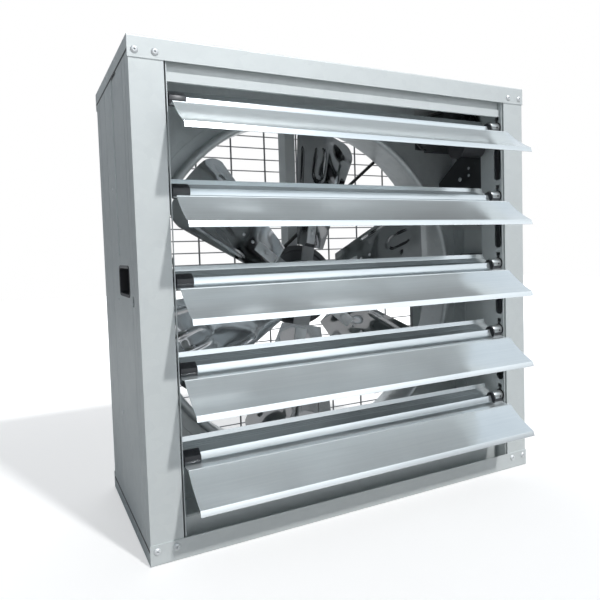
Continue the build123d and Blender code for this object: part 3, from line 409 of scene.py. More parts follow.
def in_place(piece: bpy.types.Object, body: str, slot: str, *nodes: str) -> bpy.types.Object:
    """Tie a piece to its body, in place of CAD nodes.

    Args:
        piece: The new piece.
        body: Body it rides on.
        slot: Material slot of the record; not used.
        nodes: Nodes it replaces.

    Returns:
        The same piece.
    """
    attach(piece, body)
    if nodes:
        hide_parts(*nodes)
    return piece


class Shape:
    """Collects closed parts of one piece on bmesh operators and turns them into an object."""

    def __init__(self, name: str, material: bpy.types.Material, slot: str = "") -> None:
        """Start an empty piece.

        Args:
            name: Piece name.
            material: Its material.
            slot: Material slot of the record.
        """
        self.name = name
        self.material = material
        self.slot = slot
        self.bm = bmesh.new()

    def take(self, part: bmesh.types.BMesh, place: Matrix) -> None:
        """Move a part into place and add it to the piece.

        Args:
            part: The part, which is used up.
            place: Where it goes.
        """
        bmesh.ops.remove_doubles(part, verts=part.verts, dist=1e-7)
        bmesh.ops.recalc_face_normals(part, faces=part.faces)
        bmesh.ops.transform(part, matrix=place, verts=part.verts)
        if place.determinant() < 0:
            bmesh.ops.reverse_faces(part, faces=part.faces)
        held = bpy.data.meshes.new("part")
        part.to_mesh(held)
        part.free()
        self.bm.from_mesh(held)
        bpy.data.meshes.remove(held)

    @staticmethod
    def _chain(part: bmesh.types.BMesh, points: list, closed: bool) -> list[bmesh.types.BMEdge]:
        """Edges from point to point, and back to the first if closed."""
        verts = [part.verts.new(point) for point in points]
        return [part.edges.new(pair) for pair in zip(verts, verts[1:] + (verts[:1] if closed else []))]

    @staticmethod
    def _thicken(part: bmesh.types.BMesh, shift: Triple | Vector) -> None:
        """Give the faces of a part a second skin, moved by a shift, with walls between both.

        Args:
            part: The part.
            shift: Offset of the second skin.
        """
        made = bmesh.ops.extrude_face_region(part, geom=part.faces[:])
        moved = [item for item in made["geom"] if isinstance(item, bmesh.types.BMVert)]
        bmesh.ops.translate(part, vec=shift, verts=moved)

    @staticmethod
    def _round(part: bmesh.types.BMesh, edges: list[bmesh.types.BMEdge], radius: float) -> None:
        """Round edges of a part.

        Args:
            part: The part.
            edges: Its edges to round.
            radius: Their radius.
        """
        bmesh.ops.bevel(
            part, geom=edges, offset=radius, segments=2, affect="EDGES", profile=0.5, material=-1,
            clamp_overlap=True,
        )

    def lathe(self, profile: list[Pair], place: Matrix, steps: int = 32, closed: bool = False) -> None:
        """Spin a half profile about the local Z axis.

        Args:
            profile: Radius and height pairs in metres, from bottom to top.
            place: Where it goes.
            steps: Segments round the axis.
            closed: Whether the profile is a loop clear of the axis.
        """
        part = bmesh.new()
        self._chain(part, [(r, 0.0, z) for r, z in profile], closed)
        bmesh.ops.spin(
            part, geom=part.verts[:] + part.edges[:], cent=(0, 0, 0), axis=(0, 0, 1), angle=2 * math.pi,
            steps=steps, use_merge=True,
        )
        self.take(part, place)

    def prism(self, outline: list[Pair], low: float, high: float, place: Matrix, bevel: float = 0.0) -> None:
        """Extrude an outline drawn in local Y and Z along local X.

        Args:
            outline: Corners in order.
            low: Start along X.
            high: End along X.
            place: Where it goes.
            bevel: Radius of all sharp edges.
        """
        part = bmesh.new()
        part.faces.new([part.verts.new((low, y, z)) for y, z in outline])
        self._thicken(part, (high - low, 0, 0))
        if bevel > 0:
            self._round(part, [e for e in part.edges if e.calc_face_angle(0.0) > SHARP_EDGE], bevel)
        self.take(part, place)

    def slab(self, low: Triple, high: Triple, bevel: float = 0.0, place: Matrix = Matrix()) -> None:
        """Box between two corners with rounded edges.

        Args:
            low: Lowest corner.
            high: Highest corner.
            bevel: Edge radius.
            place: Where it goes.
        """
        part = bmesh.new()
        low_v, high_v = Vector(low), Vector(high)
        fit = Matrix.Translation((low_v + high_v) / 2) @ Matrix.Diagonal((*(high_v - low_v), 1.0))
        bmesh.ops.create_cube(part, size=1.0, matrix=fit)
        if bevel > 0:
            self._round(part, part.edges[:], bevel)
        self.take(part, place)

    def sheet(self, rows: list[list[Vector]], thick: Vector, place: Matrix) -> None:
        """Sheet through rows of points, with a second skin at an offset.

        Args:
            rows: Points row by row.
            thick: Offset of the second skin.
            place: Where it goes.
        """
        part = bmesh.new()
        chains = [self._chain(part, row, False) for row in rows]
        for one, two in zip(chains, chains[1:]):
            bmesh.ops.bridge_loops(part, edges=one + two)
        self._thicken(part, thick)
        self.take(part, place)

    def loft(self, rings: list[list[Vector]], closed: bool = False) -> None:
        """Bridge rings of points in order, with both ends capped unless they close on themselves.

        Args:
            rings: Points ring by ring.
            closed: Whether the last ring joins the first.
        """
        part = bmesh.new()
        loops = [self._chain(part, ring, True) for ring in rings]
        for one, two in zip(loops, loops[1:] + (loops[:1] if closed else [])):
            bmesh.ops.bridge_loops(part, edges=one + two)
        if not closed:
            bmesh.ops.holes_fill(part, edges=loops[0] + loops[-1], sides=0)
        self.take(part, Matrix())

    def finish(self, smooth: float = 35.0) -> bpy.types.Object:
        """Turn the parts into an object at the origin.

        Args:
            smooth: Edges sharper than this many degrees stay sharp.

        Returns:
            The new object.
        """
        mesh = bpy.data.meshes.new(self.name)
        self.bm.to_mesh(mesh)
        self.bm.free()
        mesh.materials.append(self.material)
        for polygon in mesh.polygons:
            polygon.use_smooth = True
        mesh.set_sharp_from_angle(angle=math.radians(smooth))
        piece = bpy.data.objects.new(self.name, mesh)
        bpy.context.scene.collection.objects.link(piece)
        return piece

    def fit(self, body: str, *nodes: str, smooth: float = 35.0) -> bpy.types.Object:
        """Finish the piece and tie it to its body.

        Args:
            body: Body it rides on.
            nodes: CAD nodes it replaces.
            smooth: Edges sharper than this many degrees stay sharp.

        Returns:
            The new object.
        """
        return in_place(self.finish(smooth), body, self.slot, *nodes)


class Paint:
    """Keeps one material per finish."""

    def __init__(self) -> None:
        """Start with the shared groups and no materials."""
        self.groups = ShadeGroups()
        self.made: dict[str, bpy.types.Material] = {}

    def of(self, finish: Finish) -> bpy.types.Material:
        """Material of a finish, built on first use.

        Args:
            finish: The finish.

        Returns:
            Its material.
        """
        if finish.name not in self.made:
            self.made[finish.name] = finish.material(self.groups)
        return self.made[finish.name]

    def shape(self, name: str, finish: Finish) -> Shape:
        """Empty piece in a finish."""
        return Shape(name, self.of(finish), finish.slot)

    def nodes(self, finish: Finish, *names: str) -> None:
        """Give CAD nodes a finish.

        Args:
            finish: The finish.
            names: The nodes.
        """
        for name in names:
            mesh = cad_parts[name].data
            mesh.materials.clear()
            mesh.materials.append(self.of(finish))


@dataclass
class Camera:
    """Camera at the photograph's viewing angle."""

    location: Triple = (-0.62827, -1.17914, 0.53611)
    azimuth: float = -27.28
    elevation: float = 3.11
    roll: float = -1.74
    focal: float = 570.54
    centre: Pair = (311.42, 281.40)
    frame_size: float = 600.0
    sensor: float = 36.0

    def build(self) -> None:
        """Make the camera and give it to the scene."""
        a, e, r = (math.radians(v) for v in (self.azimuth, self.elevation, self.roll))
        back = Vector((math.sin(a) * math.cos(e), -math.cos(a) * math.cos(e), math.sin(e)))
        right = (-back).cross(Vector((0, 0, 1))).normalized()
        up = right.cross(-back)
        right_rolled = right * math.cos(r) + up * math.sin(r)
        up_rolled = -right * math.sin(r) + up * math.cos(r)
        data = bpy.data.cameras.new("photo_camera")
        data.sensor_width = self.sensor
        data.lens = self.focal / self.frame_size * self.sensor
        data.shift_x = (self.frame_size / 2 - self.centre[0]) / self.frame_size
        data.shift_y = (self.centre[1] - self.frame_size / 2) / self.frame_size
        data.clip_end = 50.0
        camera = bpy.data.objects.new("photo_camera", data)
        turn = Matrix((right_rolled, up_rolled, back)).transposed().to_4x4()
        camera.matrix_world = Matrix.Translation(self.location) @ turn
        bpy.context.scene.collection.objects.link(camera)
        bpy.context.scene.camera = camera


@dataclass
class Studio:
    """Pale floor, soft lamps and a white surround."""

    floor_size: float = 14.0
    floor_drop: float = 0.0005
    floor_base: Colour = (0.6, 0.6, 0.6, 1.0)
    glow_reach: Pair = (0.7, 3.6)
    glow: Pair = (0.5, 1.0)
    key_from: Triple = (0.36, -1.0, 1.15)
    key_power: float = 2.16
    key_softness: float = 3.5
    aim: Triple = (0.0, 0.0, 0.45)
    lamps: tuple[tuple[str, Triple, float, float], ...] = (
        ("fill", (0.6, -4.6, 1.0), 4.0, 20.0),
        ("top", (0.2, 0.8, 3.8), 3.0, 26.0),
        ("rear", (0.9, 3.0, 1.5), 2.4, 30.0),
    )
    soft_light: Colour = (0.76, 0.88, 1.0, 1.0)
    soft_power: float = 0.19
    sky_tint: tuple[tuple[float, Colour], ...] = ((0.45, (0.9, 0.95, 1.0, 1.0)), (0.9, (0.5, 0.63, 0.76, 1.0)))

    def floor(self) -> None:
        """Pale floor that keeps the shadow of the object."""
        made = bpy.data.materials.new("pale_floor")
        made.use_nodes = True
        tree = made.node_tree
        new = tree.nodes.new
        skin = put(
            tree.nodes["Principled BSDF"],
            {"Base Color": self.floor_base, "Roughness": 0.9, "Emission Color": WHITE},
        )
        path, place, away = (new(f"ShaderNode{kind}") for kind in ("LightPath", "TexCoord", "VectorMath"))
        away.operation = "LENGTH"
        fade = smooth_ramp(tree, self.glow_reach, self.glow)
        glow = math_node(tree, "MULTIPLY")
        join(
            tree,
            (place, "Object", away, 0), (away, "Value", fade, "Value"),
            (path, "Is Camera Ray", glow, 0), (fade, "Result", glow, 1), (glow, 0, skin, "Emission Strength"),
        )
        shape = Shape("studio_floor", made)
        level = Matrix.Translation((0, 0, -self.floor_drop))
        bmesh.ops.create_grid(shape.bm, x_segments=1, y_segments=1, size=self.floor_size / 2, matrix=level)
        piece = shape.finish()

    def lights(self) -> None:
        """Soft sun and area lamps that look at the middle of the object."""
        sun = bpy.data.lights.new("key", "SUN")
        sun.energy = self.key_power
        sun.angle = math.radians(self.key_softness)
        key = bpy.data.objects.new("key", sun)
        key.matrix_world = Vector(self.key_from).to_track_quat("Z", "Y").to_matrix().to_4x4()
        bpy.context.scene.collection.objects.link(key)
        for name, place, size, power in self.lamps:
            data = bpy.data.lights.new(name, "AREA")
            data.size = size
            data.energy = power
            lamp = bpy.data.objects.new(name, data)
            turn = (Vector(self.aim) - Vector(place)).to_track_quat("-Z", "Y")
            lamp.matrix_world = Matrix.Translation(place) @ turn.to_matrix().to_4x4()
            bpy.context.scene.collection.objects.link(lamp)

    def surround(self) -> None:
        """White behind the object, plain soft light on it, and a soft sky for metal to mirror."""
        world = bpy.data.worlds.new("studio_surround")
        world.use_nodes = True
        tree = world.node_tree
        tree.nodes.clear()
        new = tree.nodes.new
        soft, white, sky = (new("ShaderNodeBackground") for _ in range(3))
        put(soft, {"Color": self.soft_light, "Strength": self.soft_power})
        put(white, {"Color": WHITE})
        tint = new("ShaderNodeValToRGB")
        for stop, (where, colour) in zip(tint.color_ramp.elements, self.sky_tint):
            stop.position, stop.color = where, colour
        rise = smooth_ramp(tree, (-0.05, 0.42), (0.28, 0.92))
        side = smooth_ramp(tree, (-0.85, 0.1), (0.2, 1.0))
        ahead = smooth_ramp(tree, (-0.8, -0.35), (1.0, 0.0))
        band = smooth_ramp(tree, (0.06, 0.26), (0.0, 0.9))
        both, low_front, total = (math_node(tree, kind) for kind in ("MULTIPLY", "MULTIPLY", "MULTIPLY_ADD"))
        shine, mix = (new("ShaderNodeMixShader") for _ in range(2))
        out, toward, path = (new(f"ShaderNode{kind}") for kind in ("OutputWorld", "TexCoord", "LightPath"))
        parts = new("ShaderNodeSeparateXYZ")
        join(
            tree,
            (toward, "Generated", parts, 0), (parts, "Z", tint, 0), (tint, 0, sky, "Color"),
            (parts, "Z", rise, "Value"), (parts, "X", side, "Value"),
            (parts, "Y", ahead, "Value"), (parts, "Z", band, "Value"),
            (rise, "Result", both, 0), (side, "Result", both, 1),
            (ahead, "Result", low_front, 0), (band, "Result", low_front, 1),
            (both, 0, total, 0), (low_front, 0, total, 1), (both, 0, total, 2), (total, 0, sky, "Strength"),
            (path, "Is Glossy Ray", shine, 0), (soft, 0, shine, 1), (sky, 0, shine, 2),
            (path, "Is Camera Ray", mix, 0), (shine, 0, mix, 1), (white, 0, mix, 2), (mix, 0, out, "Surface"),
        )
        bpy.context.scene.world = world

    def build(self) -> None:
        """Set the whole studio."""
        self.floor()
        self.lights()
        self.surround()
        bpy.context.scene.view_settings.view_transform = "Standard"


@dataclass
class Housing:
    """Sheet housing with its rivets and screws, black strips of painted shadow in the lap seams, handles and
    bushings.
    """

    paint: Paint
    rivet_head: float = 0.0065
    rivet_rise: float = 0.0026
    rivet_x: Pair = (0.438, 0.4045)
    rivet_z: Pair = (0.025, 0.875)
    screw_head: float = 0.0045
    screw_rise: float = 0.0014
    flange_face: float = 0.45
    screw_depths: Pair = (0.112, 0.244)
    screw_z: Pair = (0.011, 0.889)
    side_rivets_at: tuple[Pair, ...] = ((0.2129, 0.4482), (0.2258, 0.6687), (0.23225, 0.216))
    handle_centre: Pair = (0.137, 0.489)
    handle_half: Pair = (0.051, 0.0265)
    handle_corner: float = 0.008
    side_face: float = 0.4485
    lap_z: float = 0.022
    shadow_strip_proud: float = 0.0012
    shadow_strip_tall: float = 0.0026
    shadow_strip_inset: float = 0.003
    jamb_face: float = 0.3855
    key_x: Pair = (0.3846, 0.3857)
    key_half: float = 0.003
    key_z: Pair = (0.0115, 0.018)

    def rivets(self) -> bpy.types.Object:
        """Domed blind rivets with the hollow of the pulled stem.

        Returns:
            The new piece.
        """
        r, h = self.rivet_head, self.rivet_rise
        profile = [
            (0.0, -h), (0.3 * r, -h), (0.36 * r, 0.0), (0.98 * r, 0.0), (r, 0.12 * h), (0.97 * r, 0.3 * h),
            (0.85 * r, 0.58 * h), (0.66 * r, 0.84 * h), (0.45 * r, 0.98 * h), (0.3 * r, h),
            (0.26 * r, 0.92 * h), (0.25 * r, -0.3 * h), (0.0, -0.3 * h),
        ]
        shape = self.paint.shape("blind_rivets", RIVET_ZINC)
        for side in SIDES:
            for x in self.rivet_x:
                for z in self.rivet_z:
                    shape.lathe(profile, axis_y(side * x, 0.0, z, forward=True), 28)
                    shape.lathe(profile, axis_y(side * x, DEPTH, z), 28)
        return shape.fit("housing", "corner_rivets", smooth=50.0)

    def seam_shadow_strips(self) -> bpy.types.Object:
        """Black strips of painted shadow in the steps where the end sheets lap over the sides, for the shade in
        the gap under each lapped flange.

        Returns:
            The new piece.
        """
        shape = self.paint.shape("lap_seam_painted_shadow", BLACK_MOULDING)
        # Black moulding here paints the shadow in the gap where each end flange stands off the side sheet.
        face, proud, tall, inset = self.side_face, self.shadow_strip_proud, self.shadow_strip_tall, self.shadow_strip_inset
        for side in SIDES:
            for edge, way in ((self.lap_z, 1), (2 * FAN_Z - self.lap_z, -1)):
                near, far = -side * face, -side * (face + proud)
                outline = [(near, edge), (far, edge), (near, edge + way * tall)]
                shape.prism(outline, at(inset), at(DEPTH - inset), turned(90, "Z"))
        return shape.fit("housing")

    def small_heads(self, name: str, node: str, seats: list[Triple]) -> bpy.types.Object:
        """Low round heads on both sides of the housing.

        Args:
            name: Piece name.
            node: Node that the piece replaces.
            seats: Half distance, depth and height of each seat.

        Returns:
            The new piece.
        """
        r, h = self.screw_head, self.screw_rise
        profile = [
            (0.0, -h), (0.4 * r, -h), (0.4 * r, 0.0), (0.98 * r, 0.0), (r, 0.35 * h), (0.9 * r, 0.8 * h),
            (0.7 * r, h), (0.3 * r, h), (0.24 * r, 0.5 * h), (0.0, 0.45 * h),
        ]
        shape = self.paint.shape(name, RIVET_ZINC)
        for x, depth, z in seats:
            for side in SIDES:
                shape.lathe(profile, axis_x(side * x, depth, z, side), 20)
        return shape.fit("housing", node, smooth=50.0)

    def handle(self, label: str, side: int) -> bpy.types.Object:
        """Moulded grip cup with a rounded bezel.

        Args:
            label: Word for the side in the names.
            side: -1 for left, 1 for right.

        Returns:
            The new piece.
        """
        (depth, z), (half_y, half_z) = self.handle_centre, self.handle_half
        rings = []
        for grow, x in (
            (-0.0026, 0.4185), (-0.0024, 0.4485), (0.0, 0.4495), (0.0022, 0.4497), (0.003, 0.4491),
            (0.003, 0.4485), (-0.0004, 0.4485), (-0.0004, 0.4168), (-0.0014, 0.4165),
        ):
            ring = []
            corner = self.handle_corner + grow
            for sy, sz, start in ((1, 1, 0), (-1, 1, 90), (-1, -1, 180), (1, -1, 270)):
                centre = (sy * (half_y + grow - corner), sz * (half_z + grow - corner))
                ring += arc(corner, centre, start, start + 90, 5)
            rings.append([Vector((side * x, at(depth) + py, z + pz)) for py, pz in ring])
        shape = self.paint.shape(f"{label}_grip_cup", BLACK_MOULDING)
        shape.loft(rings)
        return shape.fit("housing", f"{label}_handle", smooth=40.0)

    def bushings(self) -> bpy.types.Object:
        """Moulded pivot bushings with a raised lip round the pin and a key tab above.

        Returns:
            The new piece.
        """
        profile = [
            (0.00405, -0.009), (0.0068, -0.009), (0.007, -0.0088), (0.007, 0.0), (0.0128, 0.0), (0.013, 0.0003),
            (0.0129, 0.0008), (0.0122, 0.0011), (0.0078, 0.0012), (0.0066, 0.00115), (0.0046, 0.0012),
            (0.00405, 0.0009),
        ]
        shape = self.paint.shape("moulded_bushings", BLACK_MOULDING)
        for z in PIVOTS:
            for side in SIDES:
                shape.lathe(profile, axis_x(side * self.jamb_face, PIVOT_DEPTH, z, -side), 32, closed=True)
                near, far = sorted(side * x for x in self.key_x)
                low = (near, PIVOT_Y - self.key_half, z + self.key_z[0])
                shape.slab(low, (far, PIVOT_Y + self.key_half, z + self.key_z[1]))
        return shape.fit("housing", "pivot_bushings", smooth=40.0)

    def build(self) -> list[bpy.types.Object]:
        """Dress the housing.

        Returns:
            The new pieces.
        """
        self.paint.nodes(
            ZINC_SHEET, "top_panel", "bottom_panel", "left_side_panel", "right_side_panel", "left_jamb",
            "right_jamb", "top_stop_strip", "bottom_sill", "bearing_strut", "guard_clips",
        )
        screws = [(self.flange_face, depth, z) for depth in self.screw_depths for z in self.screw_z]
        rivets = [(self.side_face, depth, z) for depth, z in self.side_rivets_at]
        return [
            self.rivets(), self.seam_shadow_strips(), self.bushings(),
            self.small_heads("flange_screws", "panel_screws", screws),
            self.small_heads("venturi_rivets", "side_rivets", rivets),
            self.handle("left", -1), self.handle("right", 1),
        ]


@dataclass
class Shutter:
    """Louvres with their end caps, cranks, pull rod and balance weight."""

    paint: Paint
    half: float = 0.3825
    rear_half: float = 0.374
    rib_half: float = 0.353
    wall: float = 0.0016
    dish: Pair = (0.0375, 0.1185)
    dish_top: float = 0.0059
    dish_fall: float = 0.0023
    dish_sag: float = 0.0034
    dish_steps: int = 22
    cap_end: float = 0.3835
    cap_flange: float = 0.004
    cap_lap: float = 0.0005
    cap_round: float = 0.0008
    cap_socket_shade_x: float = 0.3755
    cap_socket_shade_lean: float = -62.0
    ridge_x: tuple[float, ...] = (0.3585, 0.3655, 0.3725)
    ridge_wide: float = 0.0014
    pin_ends: Pair = (0.3945, 0.406)
    sleeve_x: Pair = (0.3573, 0.3838)
    sleeve_radius: float = 0.011
    sleeve_turns: Pair = (-38.0, 218.0)
    sleeve_round: float = 0.0006
    crank_x: Pair = (0.402, 0.406)
    crank_reach: float = 0.021
    crank_boss: float = 0.008
    crank_tip: float = 0.006
    crank_lean: float = math.radians(-12.0)
    weight_x: float = 0.3
    weight_at: Triple = (0.0, -0.0162, -0.0558)

    def _front_path(self) -> list[Pair]:
        """Upper face from the web to the lip, dished smoothly.

        Returns:
            Its corners.
        """
        points = [
            (-0.01, -0.00766), (0.0135, -0.00642), (0.0145, -0.00631), (0.0222, -0.00475), (0.0238, -0.00445),
        ]
        start, end = self.dish
        for k in range(self.dish_steps + 1):
            share = k / self.dish_steps
            sag = 4 * self.dish_sag * share * (1 - share)
            points.append((start + share * (end - start), self.dish_top - share * self.dish_fall - sag))
        return points + [(0.1192, 0.0031), (0.12675, -0.00285), (0.1269, -0.003)]

    def louvre(self, n: int) -> bpy.types.Object:
        """Extruded louvre with hooked rear lip, ribbed web, dished blade and hemmed lip.

        Args:
            n: Louvre, from 0 at the top.

        Returns:
            The new piece.
        """
        rear = [
            (-0.0431, -0.0028), (-0.03665, -0.00868), (-0.0363, -0.009), (-0.0359, -0.00903), (-0.01, -0.00766),
        ]
        rib = [
            (-0.0068, -0.0085), (0.0113, -0.0075), (0.0115, -0.0052), (0.0112, -0.0048), (0.0019, 0.0017),
            (0.0014, 0.0021), (0.0008, 0.0023), (0.0, 0.0022), (-0.0004, 0.0018),
        ]
        nib = [
            (0.0366, 0.0046), (0.0376, 0.0063), (0.0381, 0.0066), (0.0387, 0.0065), (0.0394, 0.0058),
            (0.0394, 0.0046),
        ]
        sections = [
            (folded(self._front_path(), self.wall), self.half), (folded(rear, self.wall), self.rear_half),
            (rib, self.rib_half), (nib, self.half),
        ]
        for y, z in ((-0.031, -0.00873), (-0.0265, -0.0085), (-0.022, -0.00826)):
            foot, crest = z - 0.0004, z + 0.0005
            line = [(y - 0.0007, foot), (y + 0.0007, foot), (y + 0.0003, crest), (y - 0.0003, crest)]
            sections.append((line, self.rear_half))
        shape = self.paint.shape(f"extruded_louvre_{n + 1}", LOUVRE_ALUMINIUM)
        for outline, half in sections:
            shape.prism(outline, -half, half, louvre_place(n))
        return shape.fit(f"shutter_{n + 1}", f"louvre_{n + 1}", smooth=28.0)

    def end_caps(self, n: int) -> bpy.types.Object:
        """Black end caps with pivot pins: a ribbed one, and on the crank side a core for the sleeve and a black
        rod whose end is a dot of painted shade for a set-screw socket.

        Args:
            n: Louvre, from 0 at the top.

        Returns:
            The new piece.
        """
        shape = self.paint.shape(f"moulded_end_caps_{n + 1}", BLACK_MOULDING)
        outline = [
            (-0.01, -0.011), (0.018, -0.011), (0.018, 0.002), (0.012, 0.008), (-0.004, 0.008), (-0.01, 0.002),
        ]
        core = [
            (-0.01, -0.011), (0.017, -0.011), (0.013, -0.002), (0.006, 0.0055), (-0.004, 0.006),
            (-0.0085, 0.002),
        ]
        screw = [(0.0, 0.0), (0.0023, 0.0), (0.0023, 0.0112), (0.0, 0.0112)]
        ridge = [(-0.0045, 0.0072), (0.0095, 0.0072), (0.0092, 0.0083), (-0.0042, 0.0083)]
        boss = [(0.0, -0.001), (0.0066, -0.001), (0.0066, 0.0004), (0.006, 0.0007), (0.0, 0.0007)]
        start, end = self.rib_half, self.cap_end
        for side, pin_end in zip(SIDES, self.pin_ends):
            place = louvre_place(n, side)
            if side > 0:
                shape.prism(outline, start, start + self.cap_flange, place, self.cap_round)
                shape.prism(core, start + self.cap_flange - self.cap_lap, end, place, self.cap_round)
                # Black rod poking just through the sleeve: a dot of painted shade standing for the socket of a
                # set screw.
                seat = Matrix.Translation((self.cap_socket_shade_x, 0, 0)) @ turned(self.cap_socket_shade_lean, "X")
                shape.lathe(screw, place @ seat, 12)
            else:
                shape.prism(outline, start, end, place, self.cap_round)
                for x in self.ridge_x:
                    shape.prism(ridge, x, x + self.ridge_wide, place, self.cap_round / 2)
            length = pin_end - end
            pin = [(0.0, -0.001), (0.004, -0.001), (0.004, length - 0.0006), (0.0034, length), (0.0, length)]
            axis = axis_x(side * end, PIVOT_DEPTH, PIVOTS[n], side)
            shape.lathe(pin, axis, 24)
            shape.lathe(boss, axis, 28)
        return shape.fit(f"shutter_{n + 1}", f"louvre_{n + 1}_end_caps", smooth=40.0)

    def sleeve(self, n: int) -> bpy.types.Object:
        """Drawn sleeve over the crank-side end cap, open below where the louvre passes.

        Args:
            n: Louvre, from 0 at the top.

        Returns:
            The new piece.
        """
        shape = self.paint.shape(f"drawn_sleeve_{n + 1}", CAP_ZINC)
        outer = arc(self.sleeve_radius, (0, 0), *self.sleeve_turns, 26)
        shape.prism(outer, *self.sleeve_x, louvre_place(n, 1), self.sleeve_round)
        return shape.fit(f"shutter_{n + 1}", smooth=40.0)

    def crank(self, n: int) -> bpy.types.Object:
        """Pressed crank arm with hub boss, riveted pin and retaining washer.

        Args:
            n: Louvre, from 0 at the top.

        Returns:
            The new piece.
        """
        shape = self.paint.shape(f"pressed_crank_{n + 1}", ZINC_FASTENER)
        reach, boss, tip, lean = self.crank_reach, self.crank_boss, self.crank_tip, self.crank_lean
        split = math.degrees(math.acos((boss - tip) / reach))
        outline = arc(boss, (0, 0), split, 360 - split, 18) + arc(tip, (reach, 0), -split, split, 14)
        cos, sin = math.cos(lean), math.sin(lean)
        leaning = [(y * cos - z * sin, y * sin + z * cos) for y, z in outline]
        shape.prism(leaning, *self.crank_x, Matrix.Translation((0, PIVOT_Y, PIVOTS[n])), 0.0004)
        collar = [(0.0041, 0.0), (0.0064, 0.0), (0.0062, 0.0009), (0.0041, 0.0009)]
        pin = [(0.0, -0.0005), (0.0025, -0.0005), (0.0025, 0.0046), (0.0021, 0.005), (0.0, 0.005)]
        washer = [(0.0023, 0.0034), (0.0045, 0.0034), (0.0045, 0.0041), (0.0023, 0.0041)]
        outer = self.crank_x[1]
        shape.lathe(collar, axis_x(outer, PIVOT_DEPTH, PIVOTS[n]), 24, closed=True)
        joint = axis_x(outer, PIVOT_DEPTH + reach * cos, PIVOTS[n] + reach * sin)
        shape.lathe(pin, joint, 20)
        shape.lathe(washer, joint, 20, closed=True)
        return shape.fit(f"shutter_{n + 1}", f"louvre_{n + 1}_crank", smooth=40.0)

    def weight(self) -> bpy.types.Object:
        """Cast balance weight with a wider disc at its inner end.

        Returns:
            The new piece.
        """
        shape = self.paint.shape("cast_balance_weight", BLACK_IRON)
        middle = louvre_place(0) @ Vector(self.weight_at)
        profile = [
            (0.0, 0.0), (0.0292, 0.0), (0.03, 0.0006), (0.03, 0.0034), (0.0292, 0.004), (0.024, 0.0042),
            (0.024, 0.0706), (0.0226, 0.072), (0.0, 0.072),
        ]
        shape.lathe(profile, Matrix.Translation((self.weight_x, middle.y, middle.z)) @ turned(90, "Y"), 48)
        return shape.fit("shutter_1", "balance_weight", smooth=40.0)

    def build(self) -> list[bpy.types.Object]:
        """Dress the shutter.

        Returns:
            The new pieces.
        """
        self.paint.nodes(ZINC_FASTENER, "pull_rod")
        self.paint.nodes(BLACK_IRON, "balance_weight_arms")
        made = [self.weight()]
        for n in range(len(PIVOTS)):
            made += [self.louvre(n), self.end_caps(n), self.sleeve(n), self.crank(n)]
        return made


